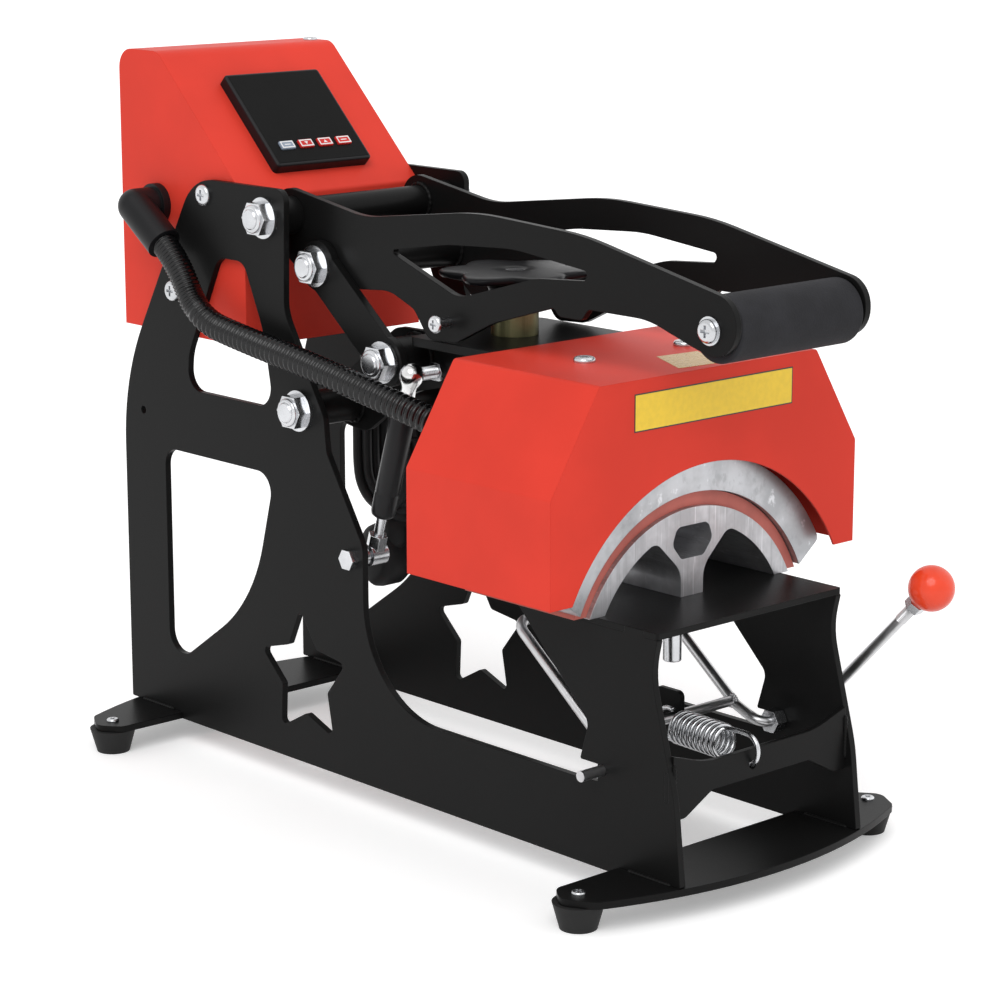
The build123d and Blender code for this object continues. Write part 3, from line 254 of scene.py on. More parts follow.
def printed(name, color, roughness=0.35):
    """Printed film: flat colour with a very slight unevenness of the ink."""
    ink = Finish(name, color, roughness, Specular_IOR_Level=0.5)
    uneven = ink.noise(300.0, 3.0)
    ink.set("Base Color", ink.tones(uneven.above(0.3, 0.7), color, 0.96, 1.03))
    ink.set("Roughness", uneven * 0.1 + (roughness - 0.05))
    return ink.bump(uneven, 0.00002, 0.3)


FINISHES = {}


# ------------------------------------------------------------------ mesh helpers
def mesh_piece(name, shape, finish, body=None, smooth=False):
    """A new mesh in the row frame, from (verts, faces), that rides on a body."""
    verts, faces = shape
    mesh = bpy.data.meshes.new(name)
    mesh.from_pydata([tuple(v) for v in verts], [], faces)
    mesh.validate()
    mesh.update()
    for polygon in mesh.polygons:
        polygon.use_smooth = smooth
    mesh.materials.append(FINISHES[finish].material)
    piece = bpy.data.objects.new(name, mesh)
    bpy.context.scene.collection.objects.link(piece)
    if body:
        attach(piece, body)
    return piece


def spline_curve(name, route):
    """A NURBS curve with the route's points, in metres, as its control points."""
    curve = bpy.data.curves.new(name, "CURVE")
    curve.dimensions = "3D"
    spline = curve.splines.new("NURBS")
    spline.points.add(len(route) - 1)
    for point, place in zip(spline.points, route):
        point.co = (*place, 1.0)
    spline.order_u = 3
    spline.use_endpoint_u = True
    spline.resolution_u = 12
    curve.twist_mode = "MINIMUM"
    piece = bpy.data.objects.new(name, curve)
    bpy.context.scene.collection.objects.link(piece)
    return piece


def spline_points(route):
    """Points along the smooth curve of a route."""
    piece = spline_curve("route", route)
    bpy.context.view_layer.update()
    mesh = bpy.data.meshes.new_from_object(piece)
    points = [vertex.co.copy() for vertex in mesh.vertices]
    bpy.data.meshes.remove(mesh)
    bpy.data.objects.remove(piece)
    return points


def resample(points, step):
    """The same line with its points a step apart."""
    lengths = [0.0]
    for first, second in zip(points, points[1:]):
        lengths.append(lengths[-1] + (second - first).length)
    count = max(2, round(lengths[-1] / step))
    result = []
    index = 0
    for number in range(count + 1):
        target = lengths[-1] * number / count
        while index < len(points) - 2 and lengths[index + 1] < target:
            index += 1
        span = lengths[index + 1] - lengths[index]
        share = (target - lengths[index]) / span if span else 0.0
        result.append(points[index].lerp(points[index + 1], share))
    return result


def round_turn(count):
    """The angles of count equal steps round a whole turn."""
    return [2 * math.pi * step / count for step in range(count)]


def ring_faces(rings, sides):
    """Faces of a skin over rings of vertices, with a cap at each end."""
    faces = []
    for ring in range(rings - 1):
        for side in range(sides):
            a = ring * sides + side
            b = ring * sides + (side + 1) % sides
            faces.append((a, b, b + sides, a + sides))
    last = (rings - 1) * sides
    return [*faces, tuple(reversed(range(sides))), tuple(range(last, last + sides))]


def tube_mesh(points, radii, sides):
    """A closed tube along points, one radius for each."""
    verts = []
    across = (points[1] - points[0]).normalized().orthogonal().normalized()
    for index, (point, radius) in enumerate(zip(points, radii)):
        before = points[max(index - 1, 0)]
        after = points[min(index + 1, len(points) - 1)]
        heading = (after - before).normalized()
        across = (across - heading * across.dot(heading)).normalized()
        up = heading.cross(across)
        for angle in round_turn(sides):
            verts.append(point + (across * math.cos(angle) + up * math.sin(angle)) * radius)
    return verts, ring_faces(len(points), sides)


def lathe(profile, origin, axis, sides, groove=None):
    """A turned shape, closed at both ends, with sizes in millimetres.

    The profile is (radius, distance along the axis). groove, if any, gives how deep the shape
    is cut at a distance along the axis and a share of the turn.
    """
    axis = Vector(axis).normalized()
    across = axis.orthogonal().normalized()
    up = axis.cross(across)
    verts = []
    for radius, reach in profile:
        for side, angle in enumerate(round_turn(sides)):
            spoke = across * math.cos(angle) + up * math.sin(angle)
            cut = groove(reach, side / sides) if groove else 0.0
            verts.append(origin + axis * (reach * MM) + spoke * ((radius - cut) * MM))
    return verts, ring_faces(len(profile), sides)


THREAD_ROWS = 6
THREAD_DEPTH = 0.55
THREAD_SIDES = 24


def screw_thread(origin, axis, length, radius, pitch):
    """A threaded rod, with sizes in millimetres."""
    rows = max(4, round(length / pitch * THREAD_ROWS))
    depth = THREAD_DEPTH * pitch

    def groove(reach, share):
        phase = (reach / pitch - share) % 1.0
        return depth * (1.0 - abs(2.0 * phase - 1.0))

    profile = [(radius, length * row / rows) for row in range(rows + 1)]
    return lathe(profile, origin, axis, THREAD_SIDES, groove)


def join(*shapes):
    """One shape out of several (verts, faces)."""
    verts = []
    faces = []
    for more_verts, more_faces in shapes:
        offset = len(verts)
        verts += more_verts
        faces += [tuple(index + offset for index in face) for face in more_faces]
    return verts, faces


def perforated_film(xs, ys, holes, place, thickness):
    """A film of rectangular cells between the grid lines xs and ys, without the cells in holes."""
    mesh = bmesh.new()
    grid = [[mesh.verts.new(place(x, y, 0.0)) for y in ys] for x in xs]
    cells = [
        mesh.faces.new((grid[i][j], grid[i + 1][j], grid[i + 1][j + 1], grid[i][j + 1]))
        for i in range(len(xs) - 1) for j in range(len(ys) - 1) if (i, j) not in holes
    ]
    raised = bmesh.ops.extrude_face_region(mesh, geom=cells, use_keep_orig=True)["geom"]
    raised = [part for part in raised if isinstance(part, bmesh.types.BMVert)]
    lift = place(0, 0, thickness) - place(0, 0, 0.0)
    bmesh.ops.translate(mesh, verts=raised, vec=lift)
    bmesh.ops.recalc_face_normals(mesh, faces=mesh.faces)
    mesh.verts.index_update()
    verts = [vertex.co.copy() for vertex in mesh.verts]
    faces = [tuple(vertex.index for vertex in face.verts) for face in mesh.faces]
    mesh.free()
    return verts, faces


def flat_plate(corners, normal, thickness):
    """A plate with the given flat outline, grown by its thickness along the normal."""
    first = corners[0]
    turn = sum(
        (b - first).cross(c - first).dot(normal) for b, c in zip(corners[1:], corners[2:]))
    if turn < 0:
        corners = corners[::-1]
    verts = [*corners, *(corner + normal * thickness for corner in corners)]
    return verts, ring_faces(2, len(corners))


# ------------------------------------------------------------------ sizes and colours to change
class PressFinishes(bpy.types.PropertyGroup):
    """Colours of the painted and moulded pieces."""

    frame_color: FloatVectorProperty(
        name="Frame", description="Powder coat of the plates and arms",
        subtype="COLOR", size=3, min=0, max=1, default=(0.007, 0.007, 0.007))
    cover_color: FloatVectorProperty(
        name="Covers", description="Powder coat of the head cover and the control box",
        subtype="COLOR", size=3, min=0, max=1, default=(0.745, 0.052, 0.032))
    pad_color: FloatVectorProperty(
        name="Pad", description="Silicone pad on the form",
        subtype="COLOR", size=3, min=0, max=1, default=(0.56, 0.15, 0.12))
    ball_color: FloatVectorProperty(
        name="Ball", description="Ball of the hold-down lever",
        subtype="COLOR", size=3, min=0, max=1, default=(0.80, 0.060, 0.020))


class PressFittings(bpy.types.PropertyGroup):
    """Sizes of the fittings that are added here."""

    conduit_radius: FloatProperty(
        name="Conduit radius", description="Outer radius of the corrugated conduit",
        subtype="DISTANCE", unit="LENGTH", default=8.0 * MM, min=2 * MM, max=20 * MM)
    conduit_pitch: FloatProperty(
        name="Upper pitch", description="Distance between the conduit's ridges above its bend",
        subtype="DISTANCE", unit="LENGTH", default=2.3 * MM, min=1 * MM, max=10 * MM)
    conduit_low_pitch: FloatProperty(
        name="Lower pitch", description="Distance between the conduit's ridges after its bend",
        subtype="DISTANCE", unit="LENGTH", default=4.1 * MM, min=1 * MM, max=10 * MM)
    conduit_groove: FloatProperty(
        name="Groove depth", description="Depth of the grooves of the conduit",
        subtype="DISTANCE", unit="LENGTH", default=1.5 * MM, min=0.2 * MM, max=4 * MM)
    lead_radius: FloatProperty(
        name="Lead radius", description="Radius of the power lead",
        subtype="DISTANCE", unit="LENGTH", default=3.0 * MM, min=1 * MM, max=6 * MM)
    label_border: FloatProperty(
        name="Label border", description="Width of the dark border of the front label",
        subtype="DISTANCE", unit="LENGTH", default=0.7 * MM, min=0, max=3 * MM)
    key_rim: FloatProperty(
        name="Key rim", description="Width of the printed rim around each key",
        subtype="DISTANCE", unit="LENGTH", default=0.8 * MM, min=0, max=2 * MM)
    spring_coil: FloatProperty(
        name="Spring radius", description="Radius of the middle of the spring's wire",
        subtype="DISTANCE", unit="LENGTH", default=8.6 * MM, min=3 * MM, max=15 * MM)
    spring_wire: FloatProperty(
        name="Spring wire", description="Radius of the spring's wire",
        subtype="DISTANCE", unit="LENGTH", default=1.35 * MM, min=0.3 * MM, max=3 * MM)
    spring_rear_run: FloatProperty(
        name="Rear hook", description="Length of the spring between its rear loop and its coil",
        subtype="DISTANCE", unit="LENGTH", default=9.5 * MM, min=2 * MM, max=20 * MM)
    spring_front_run: FloatProperty(
        name="Front hook", description="Length of the spring between its coil and its front hook",
        subtype="DISTANCE", unit="LENGTH", default=16.0 * MM, min=2 * MM, max=25 * MM)
    spring_turns: FloatProperty(
        name="Spring turns", description="Number of turns of the coil",
        default=9.5, min=3.5, max=20.5)
    segments: IntProperty(
        name="Segments", description="Sides of the conduit", default=32, min=12, max=96)


# ------------------------------------------------------------------ camera, floor and light
CAMERA_AT = mm(-1131.11, -1256.62, 558.36)
CAMERA_TURN = math.radians(-42.499)
CAMERA_DIP = math.radians(12.790)
SENSOR_WIDTH = 36.0
FOCAL_SHARE = 2.99787
FLOOR_REACH = 40.0
FLOOR_DROP = 0.0001
WORLD_LIGHT = 0.66
LAMPS = {
    "key_light": (1.2, 40.0, (38.0, -22.0, -30.0)),
    "fill_light": (0.35, 70.0, (55.0, 10.0, 60.0)),
}


class PRESS_OT_stage(bpy.types.Operator):
    """Add the pale floor, the soft light and the camera"""

    bl_idname = "press.stage"
    bl_label = "Stage"

    def execute(self, context):
        scene = context.scene
        scene.view_settings.view_transform = "Standard"
        camera = bpy.data.objects.new("Camera", bpy.data.cameras.new("Camera"))
        camera.data.sensor_fit = "HORIZONTAL"
        camera.data.sensor_width = SENSOR_WIDTH
        camera.data.lens = SENSOR_WIDTH * FOCAL_SHARE
        camera.data.clip_end = 100.0
        camera.location = CAMERA_AT
        camera.rotation_euler = (math.pi / 2 - CAMERA_DIP, 0.0, CAMERA_TURN)
        scene.collection.objects.link(camera)
        scene.camera = camera

        paper = Finish("floor_paper", (0.97, 0.97, 0.97), 0.9,
                       Specular_IOR_Level=0.05, Emission_Strength=0.30)
        paper.set("Emission Color", paper.seen())
        paper.set("Base Color", paper.mix(paper.noise(3.0), (0.965,) * 3, (0.975,) * 3))
        FINISHES["floor_paper"] = paper
        corners = [(x * FLOOR_REACH, y * FLOOR_REACH, 0) for x, y in
                   ((-1, -1), (1, -1), (1, 1), (-1, 1))]
        floor = mesh_piece("floor", (corners, [(0, 1, 2, 3)]), "floor_paper")
        floor.location.z = -FLOOR_DROP

        world = bpy.data.worlds.new("studio")
        world.use_nodes = True
        scene.world = world
        sky = Shading(world.node_tree)
        background = sky.tree.nodes["Background"]
        background.inputs["Color"].default_value = (1.0, 1.0, 1.0, 1.0)
        level = sky.seen() * (1.0 - WORLD_LIGHT) + WORLD_LIGHT
        sky.connect(background.inputs["Strength"], level)

        for name, (strength, softness, turn) in LAMPS.items():
            lamp = bpy.data.lights.new(name, "SUN")
            lamp.energy = strength
            lamp.angle = math.radians(softness)
            light = bpy.data.objects.new(name, lamp)
            light.rotation_euler = [math.radians(angle) for angle in turn]
            scene.collection.objects.link(light)
        return {"FINISHED"}


# ------------------------------------------------------------------ finishes
# Each finish has its recipe, its colour or the property that holds it, and the recipe's numbers.
RECIPES = {
    "frame_coat": (powder_coat, "frame_color", 0.36, 0.01),
    "cover_coat": (powder_coat, "cover_color", 0.42, 0.0),
    "zinc": (bright_zinc, (0.62, 0.63, 0.65), 0.22),
    "rod_steel": (bright_zinc, (0.60, 0.60, 0.61), 0.30),
    "chrome": (bright_zinc, (0.80, 0.80, 0.80), 0.14),
    "form_metal": (machined_aluminium, (0.52, 0.52, 0.54), (650.0, 60.0, 14.0)),
    "platen_metal": (machined_aluminium, (0.50, 0.51, 0.53), (90.0, 40.0, 60.0)),
    "collar_metal": (machined_aluminium, (0.21, 0.20, 0.10), (300.0, 300.0, 8.0)),
    "pad_sheet": (silicone, "pad_color"),
    "grip_foam": (foam, (0.019, 0.019, 0.022)),
    "foot_rubber": (moulded, (0.018, 0.018, 0.018), 0.62, 400.0, 0.0001),
    "black_plastic": (moulded, (0.008, 0.008, 0.009), 0.42),
    "knob_plastic": (moulded, (0.008, 0.008, 0.009), 0.34, 300.0, 0.00003, 0.0004, 0.12),
    "window": (moulded, (0.010, 0.011, 0.013), 0.12, 100.0, 0.00001),
    "film_black": (moulded, (0.006, 0.006, 0.006), 0.40, 300.0, 0.00001, 0.0004, 0.05),
    "key_grey": (moulded, (0.27, 0.32, 0.40), 0.38),
    "key_red": (moulded, (0.62, 0.025, 0.020), 0.38),
    "ball_plastic": (moulded, "ball_color", 0.20, 200.0, 0.00002, 0.0004, 0.4),
    "gas_lacquer": (moulded, (0.010, 0.010, 0.011), 0.32, 300.0, 0.00002),
    "conduit_plastic": (moulded, (0.004, 0.004, 0.0045), 0.20, 500.0, 0.00002, 0.0, 0.4),
    "lead_jacket": (moulded, (0.018, 0.018, 0.019), 0.50, 500.0, 0.00003, 0.0),
    "label_yellow": (printed, (0.90, 0.60, 0.025)),
    "label_dark": (printed, (0.015, 0.013, 0.012)),
    "label_gold": (printed, (0.60, 0.36, 0.08), 0.28),
    "print_white": (printed, (0.80, 0.80, 0.80)),
}
NODE_FINISH = {
    "frame_coat": (
        "side_plate_left side_plate_right foot_plates table_plate front_cross_plate "
        "handle_arm_left handle_arm_right handle_tubes arm_cheeks arm_hub arm_nose_tube "
        "beam_plate links hold_down_tab"),
    "cover_coat": "head_cover control_box control_box_back",
    "zinc": (
        "box_screws cover_screws foot_screws form_bolt gas_rod gas_stud_lower gas_stud_upper "
        "handle_screws hold_down_nuts hold_down_spring link_lower_bolt link_top_bolts "
        "pivot_bolts platen_posts pressure_spindle grip_rod"),
    "rod_steel": "hold_down_frame",
    "form_metal": "lower_form",
    "platen_metal": "heating_platen heat_shield",
    "pad_sheet": "form_pad",
    "grip_foam": "handle_grip",
    "foot_rubber": "rubber_feet",
    "black_plastic": (
        "controller_bezel conduit_collar conduit_elbow cord_gland fuse_holder switch_frame "
        "switch_rocker"),
    "knob_plastic": "pressure_knob",
    "window": "display_window",
    "key_grey": "button_mode",
    "key_red": "button_down button_up button_enter",
    "ball_plastic": "ball_knob",
    "collar_metal": "adjuster_collar",
    "gas_lacquer": "gas_cylinder",
}


class PRESS_OT_finishes(bpy.types.Operator):
    """Make every finish and put it on the pieces of the machine"""

    bl_idname = "press.finishes"
    bl_label = "Finishes"

    def execute(self, context):
        for name, (recipe, color, *numbers) in RECIPES.items():
            if isinstance(color, str):
                color = tuple(getattr(context.scene.press_finishes, color))
            FINISHES[name] = recipe(name, color, *numbers)
        for name, nodes in NODE_FINISH.items():
            for node in nodes.split():
                if not NODES[node].material_slots:
                    NODES[node].data.materials.append(FINISHES[name].material)
                for material_slot in NODES[node].material_slots:
                    material_slot.material = FINISHES[name].material
        return {"FINISHED"}


# ------------------------------------------------------------------ conduit
CONDUIT_ROUTE = [
    mm(-84.0, 181.0, 313.0), mm(-84.0, 167.1, 303.2), mm(-84.0, 149.0, 272.0),
    mm(-83.0, 106.0, 264.8), mm(-81.0, 53.0, 257.5), mm(-77.0, 4.0, 248.0),
    mm(-68.5, -40.0, 236.5), mm(-64.0, -57.6, 232.0), mm(-64.0, -69.6, 232.0),
]
CONDUIT_STEP = 0.46
SLEEVE_START = 40.0
SLEEVE_LENGTH = 18.0
SLEEVE_INSET = 0.25


class PRESS_OT_conduit(bpy.types.Operator):
    """Add the corrugated conduit from the control box to the head"""

    bl_idname = "press.conduit"
    bl_label = "Conduit"

    def execute(self, context):
        sizes = context.scene.press_fittings
        points = resample(spline_points(CONDUIT_ROUTE), CONDUIT_STEP * MM)
        full = sizes.conduit_groove
        turn = 0.0
        radii = []
        for index in range(len(points)):
            # The ridges fade out along the smooth sleeve at the bend, and come back coarser.
            share = min(1.0, max(0.0, (index * CONDUIT_STEP - SLEEVE_START) / SLEEVE_LENGTH))
            depth = full * abs(math.cos(math.pi * share)) ** 0.5
            pitch = sizes.conduit_pitch if share < 0.5 else sizes.conduit_low_pitch
            turn += CONDUIT_STEP * MM / pitch
            ridge = (0.5 + 0.5 * math.cos(2 * math.pi * turn)) ** 0.6
            inset = depth * (1.0 - ridge) + (full - depth) * SLEEVE_INSET
            radii.append(sizes.conduit_radius - inset)
        hose = tube_mesh(points, radii, sizes.segments)
        conduit = mesh_piece(
            "conduit_hose", hose, "conduit_plastic", None, True)
        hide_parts("conduit")
        tuple(mm(-84, 150, 272))
        tuple(mm(-66, -40, 236))
        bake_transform(conduit)
        return {"FINISHED"}


# ------------------------------------------------------------------ power lead
LEAD_EXIT = mm(36.0, 140.0, 245.9)
LEAD_DOWN = [
    LEAD_EXIT, mm(36.0, 140.0, 238.0), mm(34.6, 138.8, 230.0), mm(31.4, 132.6, 223.2),
    mm(28.6, 124.0, 219.8), mm(28.0, 112.6, 217.2), mm(28.6, 102.0, 210.6),
    mm(30.2, 96.4, 198.0),
]
LEAD_TAIL = [
    mm(37.8, 104.8, 170.0), mm(38.0, 106.2, 157.0), mm(38.0, 109.2, 144.5),
    mm(38.0, 113.4, 133.0),
]
HANK_MIDDLE = (119.0, 184.0)
HANK_RUN = 16.5
# Each turn of the hank: its place across the machine and half its width.
HANK_TURNS = [
    (31.0, 23.0), (37.5, 23.4), (44.5, 22.6), (47.5, 18.2), (41.0, 18.6), (34.5, 18.2),
    (37.5, 15.2),
]
HANK_SLACK = 0.2
HANK_START = 0.5
TURN_POINTS = 16
CROSSING_POINTS = 6
PLUG_MIDDLE = mm(24.0, 123.0, 114.5)
PLUG_WIDTH = 0.76
PLUG_PROFILE = [
    (13.0, 1.0), (17.0, 1.8), (19.2, 4.2), (20.0, 8.0), (20.0, 20.0), (19.0, 22.0),
    (17.4, 22.0), (17.0, 25.5), (16.0, 26.5),
]
PLUG_SHOULDER = [
    (mm(38.0, 111.4, 139.0), 7.0 * MM), (mm(37.5, 114.6, 131.0), 9.0 * MM),
    (mm(37.0, 118.6, 122.0), 10.2 * MM),
]
PIN_PROFILE = [(2.0, 0.0), (2.4, 1.2), (2.4, 7.0), (1.6, 8.2)]
PIN_REACH = 26.5
PIN_OFFSET = 6.35
RELIEF_STEP = 0.8
RELIEF_POINTS = 32
RELIEF_RADIUS = 4.2
RELIEF_FLARE = 3.6
RELIEF_NOTCH = 0.8
NOTCH_EVERY = 6
TIE_MIDDLE = mm(39.0, 100.8, 191.0)
TIE_STEPS = 24
TIE_WIRE = 1.1 * MM


def round_the_hank(share, width):
    """Where a turn is from the hank's middle, from the rear, over the top and back, as (y, z)."""
    bend = math.pi * width
    reach = (share % 1.0) * (2 * bend + 4 * HANK_RUN)
    if reach < HANK_RUN:
        return width, reach
    reach -= HANK_RUN
    if reach < bend:
        return width * math.cos(reach / width), HANK_RUN + width * math.sin(reach / width)
    reach -= bend
    if reach < 2 * HANK_RUN:
        return -width, HANK_RUN - reach
    reach -= 2 * HANK_RUN
    if reach < bend:
        return -width * math.cos(reach / width), -HANK_RUN - width * math.sin(reach / width)
    return width, reach - bend - HANK_RUN


def hank_route():
    """Control points of the lead: down from the gland, round the hank, down into the plug."""
    route = list(LEAD_DOWN)
    for number in range(TURN_POINTS * (len(HANK_TURNS) - 1) + 1):
        turn, step = divmod(number, TURN_POINTS)
        after = min(turn + 1, len(HANK_TURNS) - 1)
        share = max(0.0, 1 - (TURN_POINTS - step) / CROSSING_POINTS)
        x, width = (
            a * (1 - share) + b * share for a, b in zip(HANK_TURNS[turn], HANK_TURNS[after]))
        y, z = round_the_hank(HANK_START + number / TURN_POINTS, width)
        slack = HANK_SLACK * math.sin(1.7 * number + turn)
        route.append(mm(x + slack, HANK_MIDDLE[0] + y + slack, HANK_MIDDLE[1] + z))
    return route + LEAD_TAIL


def plug_shape(points):
    """The plug's body, its shoulder and the notched strain relief on the end of the lead."""
    body = lathe(PLUG_PROFILE, PLUG_MIDDLE, (1, 0, 0), 64)
    for vertex in body[0]:
        vertex.y = PLUG_MIDDLE.y + (vertex.y - PLUG_MIDDLE.y) * PLUG_WIDTH
    shoulder = tube_mesh(*zip(*PLUG_SHOULDER), 24)
    radii = []
    for index in range(RELIEF_POINTS):
        notched = index % NOTCH_EVERY > NOTCH_EVERY // 2 and index < RELIEF_POINTS - NOTCH_EVERY
        flare = RELIEF_FLARE * index / (RELIEF_POINTS - 1)
        radii.append((RELIEF_RADIUS + flare - RELIEF_NOTCH * notched) * MM)
    relief = tube_mesh(resample(points, RELIEF_STEP * MM)[-RELIEF_POINTS:], radii, 24)
    return join(body, shoulder, relief)


def tie_shape():
    """The wire tie: a loop round the strands and its two twisted ends."""
    loop = []
    for angle in [*round_turn(TIE_STEPS), 2 * math.pi]:
        loop.append(TIE_MIDDLE + mm(
            12.6 * math.cos(angle), 8.2 * math.sin(angle), 0.8 * math.sin(2 * angle)))
    wires = [loop]
    for lean in (-1.6, 1.6):
        wires.append([mm(51.0, 100.0, 191.0), mm(54.5, 99.0 + lean, 193.0),
                      mm(57.5, 98.0 + 2 * lean, 198.0)])
    return join(*(tube_mesh(wire, [TIE_WIRE] * len(wire), 8) for wire in wires))


class PRESS_OT_lead(bpy.types.Operator):
    """Add the power lead, tied in a hank, with its plug"""

    bl_idname = "press.lead"
    bl_label = "Power lead"

    def execute(self, context):
        sizes = context.scene.press_fittings
        route = hank_route()
        lead = spline_curve("power_lead", route)
        lead.data.bevel_depth = sizes.lead_radius
        lead.data.bevel_resolution = 6
        lead.data.use_fill_caps = True
        lead.data.materials.append(FINISHES["lead_jacket"].material)
        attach(lead, "frame")
        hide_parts("power_cord", "cord_hank")
        points = spline_points(route)

        plug = mesh_piece(
            "mains_plug", plug_shape(points), "lead_jacket", "frame", True)
        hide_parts("power_plug")
        pins = [
            lathe(PIN_PROFILE, PLUG_MIDDLE + mm(PIN_REACH, offset, 0.0), (1, 0, 0), 20)
            for offset in (-PIN_OFFSET, PIN_OFFSET)
        ]
        prongs = mesh_piece("mains_plug_pins", join(*pins), "zinc", "frame", True)
        tie = mesh_piece(
            "lead_tie", tie_shape(), "black_plastic", "frame", True)
        return {"FINISHED"}


# ------------------------------------------------------------------ labels
COVER_FRONT = -187.1
COVER_TOP = 277.5
FRONT_LABEL_LOW = mm(-57.3, COVER_FRONT, 250.0)
FRONT_LABEL_HIGH = mm(63.4, COVER_FRONT, 270.2)
TOP_LABEL = [
    mm(0.9, -145.4, COVER_TOP), mm(-15.8, -178.1, COVER_TOP),
    mm(12.8, -181.0, COVER_TOP), mm(29.5, -148.3, COVER_TOP),
]
FILM = 0.15 * MM


def front_label_outline(inset, lift):
    """Corners of the front label, moved in from its edges and lifted off the cover."""
    low, high = FRONT_LABEL_LOW, FRONT_LABEL_HIGH
    across = (low.x + inset, high.x - inset)
    below, above = low.z + inset, high.z - inset
    y = low.y - lift
    return [
        *(Vector((x, y, below)) for x in across),
        *(Vector((x, y, above)) for x in reversed(across)),
    ]


class PRESS_OT_labels(bpy.types.Operator):
    """Add the blank labels on the head cover"""

    bl_idname = "press.labels"
    bl_label = "Labels"

    def execute(self, context):
        border = context.scene.press_fittings.label_border
        front = Vector((0, -1, 0))
        top = Vector((0, 0, 1))
        for name, shape, finish in (
            ("front_label_border",
             flat_plate(front_label_outline(0.0, 0.0), front, FILM), "label_dark"),
            ("front_label",
             flat_plate(front_label_outline(border, FILM), front, FILM / 2), "label_yellow"),
            ("top_label", flat_plate(TOP_LABEL, top, FILM), "label_gold"),
        ):
            mesh_piece(name, shape, finish, "press_arm")
        return {"FINISHED"}


# ------------------------------------------------------------------ controller front
PANEL_MIDDLE = mm(0.0, 161.745, 379.742)
PANEL_TURN = math.atan2(80.2, 82.0)
PANEL_UP = Vector((0.0, math.cos(PANEL_TURN), math.sin(PANEL_TURN)))
PANEL_OUT = Vector((0.0, -math.sin(PANEL_TURN), math.cos(PANEL_TURN)))
BEZEL_HEIGHT = 7.0
FILM_HALF = 34.2
FILM_THICKNESS = 0.12
KEY_SIZE = (10.5, 6.1)
KEY_GAP = 0.45
KEY_ROW = -21.5
KEYS = {"key_mode": -21.5, "key_down": -7.2, "key_up": 7.2, "key_enter": 21.5}
KEY_FACE = 8.2
PRINT_INSET = 0.55
PRINT_THICKNESS = 0.08
# Corners of the marks on the keys, from the middle of the key.
TRIANGLE = [(-1.3, -1.0), (1.3, -1.0), (0.0, 1.2)]
BAR = [(-2.2, -0.35), (2.2, -0.35), (2.2, 0.35), (-2.2, 0.35)]
KEY_MARKS = {
    "key_mode": BAR, "key_down": [(x, -y) for x, y in TRIANGLE], "key_up": TRIANGLE,
    "key_enter": BAR,
}


def on_panel(x, y, height):
    """A point on the controller: x to the right, y up the slope and the height off the box."""
    across = Vector((x * MM, 0, 0))
    return PANEL_MIDDLE + across + PANEL_UP * (y * MM) + PANEL_OUT * (height * MM)


class PRESS_OT_controller(bpy.types.Operator):
    """Add the front film of the controller and the printing on its keys"""

    bl_idname = "press.controller"
    bl_label = "Controller"

    def execute(self, context):
        half_x, half_y = (size / 2 + KEY_GAP for size in KEY_SIZE)
        xs = [-FILM_HALF]
        for x in KEYS.values():
            xs += [x - half_x, x + half_x]
        xs.append(FILM_HALF)
        ys = [-FILM_HALF, KEY_ROW - half_y, KEY_ROW + half_y, FILM_HALF]
        windows = {(column, 1) for column in range(1, len(xs) - 1, 2)}
        film = perforated_film(
            xs, ys, windows, lambda x, y, height: on_panel(x, y, BEZEL_HEIGHT + height),
            FILM_THICKNESS)
        mesh_piece("controller_film", film, "film_black", "frame")

        rim = context.scene.press_fittings.key_rim / MM
        half_x, half_y = (size / 2 - PRINT_INSET for size in KEY_SIZE)
        for body, x in KEYS.items():
            grid_x, grid_y = (
                [middle - half, middle - half + rim, middle + half - rim, middle + half]
                for middle, half in ((x, half_x), (KEY_ROW, half_y)))
            edge = perforated_film(
                grid_x, grid_y, {(1, 1)},
                lambda a, b, height: on_panel(a, b, KEY_FACE + height), PRINT_THICKNESS)
            corners = [on_panel(x + a, KEY_ROW + b, KEY_FACE) for a, b in KEY_MARKS[body]]
            mark = flat_plate(corners, PANEL_OUT, PRINT_THICKNESS * MM)
            mesh_piece(f"{body}_print", join(edge, mark), "print_white", body)
        return {"FINISHED"}


# ------------------------------------------------------------------ rear bend of the control box
BOX_BEND_AT = (233.7, 412.0)
BOX_BEND_RADIUS = 11.97
BOX_BEND_SWEEP = 64.0
BOX_BEND_STEPS = 16
BOX_SHEET = 1.5
BOX_BACK_TOP = 410.02
BOX_BACK_HALF = 65.5


class PRESS_OT_box_bend(bpy.types.Operator):
    """Add the rounded sheet between the top of the control box and its back"""

    bl_idname = "press.box_bend"
    bl_label = "Box bend"

    def execute(self, context):
        middle_y, middle_z = BOX_BEND_AT
        lines = []
        for radius in (BOX_BEND_RADIUS, BOX_BEND_RADIUS - BOX_SHEET):
            line = [(middle_y + radius, BOX_BACK_TOP)]
            for step in range(BOX_BEND_STEPS + 1):
                angle = math.radians(BOX_BEND_SWEEP * step / BOX_BEND_STEPS)
                line.append((middle_y + radius * math.cos(angle),
                             middle_z + radius * math.sin(angle)))
            lines.append(line)
        outer, inner = lines
        ring = outer + inner[::-1]
        verts = [mm(x, y, z) for x in (-BOX_BACK_HALF, BOX_BACK_HALF) for y, z in ring]
        count = len(ring)
        faces = [(k, (k + 1) % count, (k + 1) % count + count, k + count) for k in range(count)]
        for k in range(len(outer) - 1):
            faces.append((k + 1, k, count - 1 - k, count - 2 - k))
            faces.append((k + count, k + 1 + count, 2 * count - 2 - k, 2 * count - 1 - k))
        mesh_piece("box_rear_bend", (verts, faces), "cover_coat", "frame")
        return {"FINISHED"}


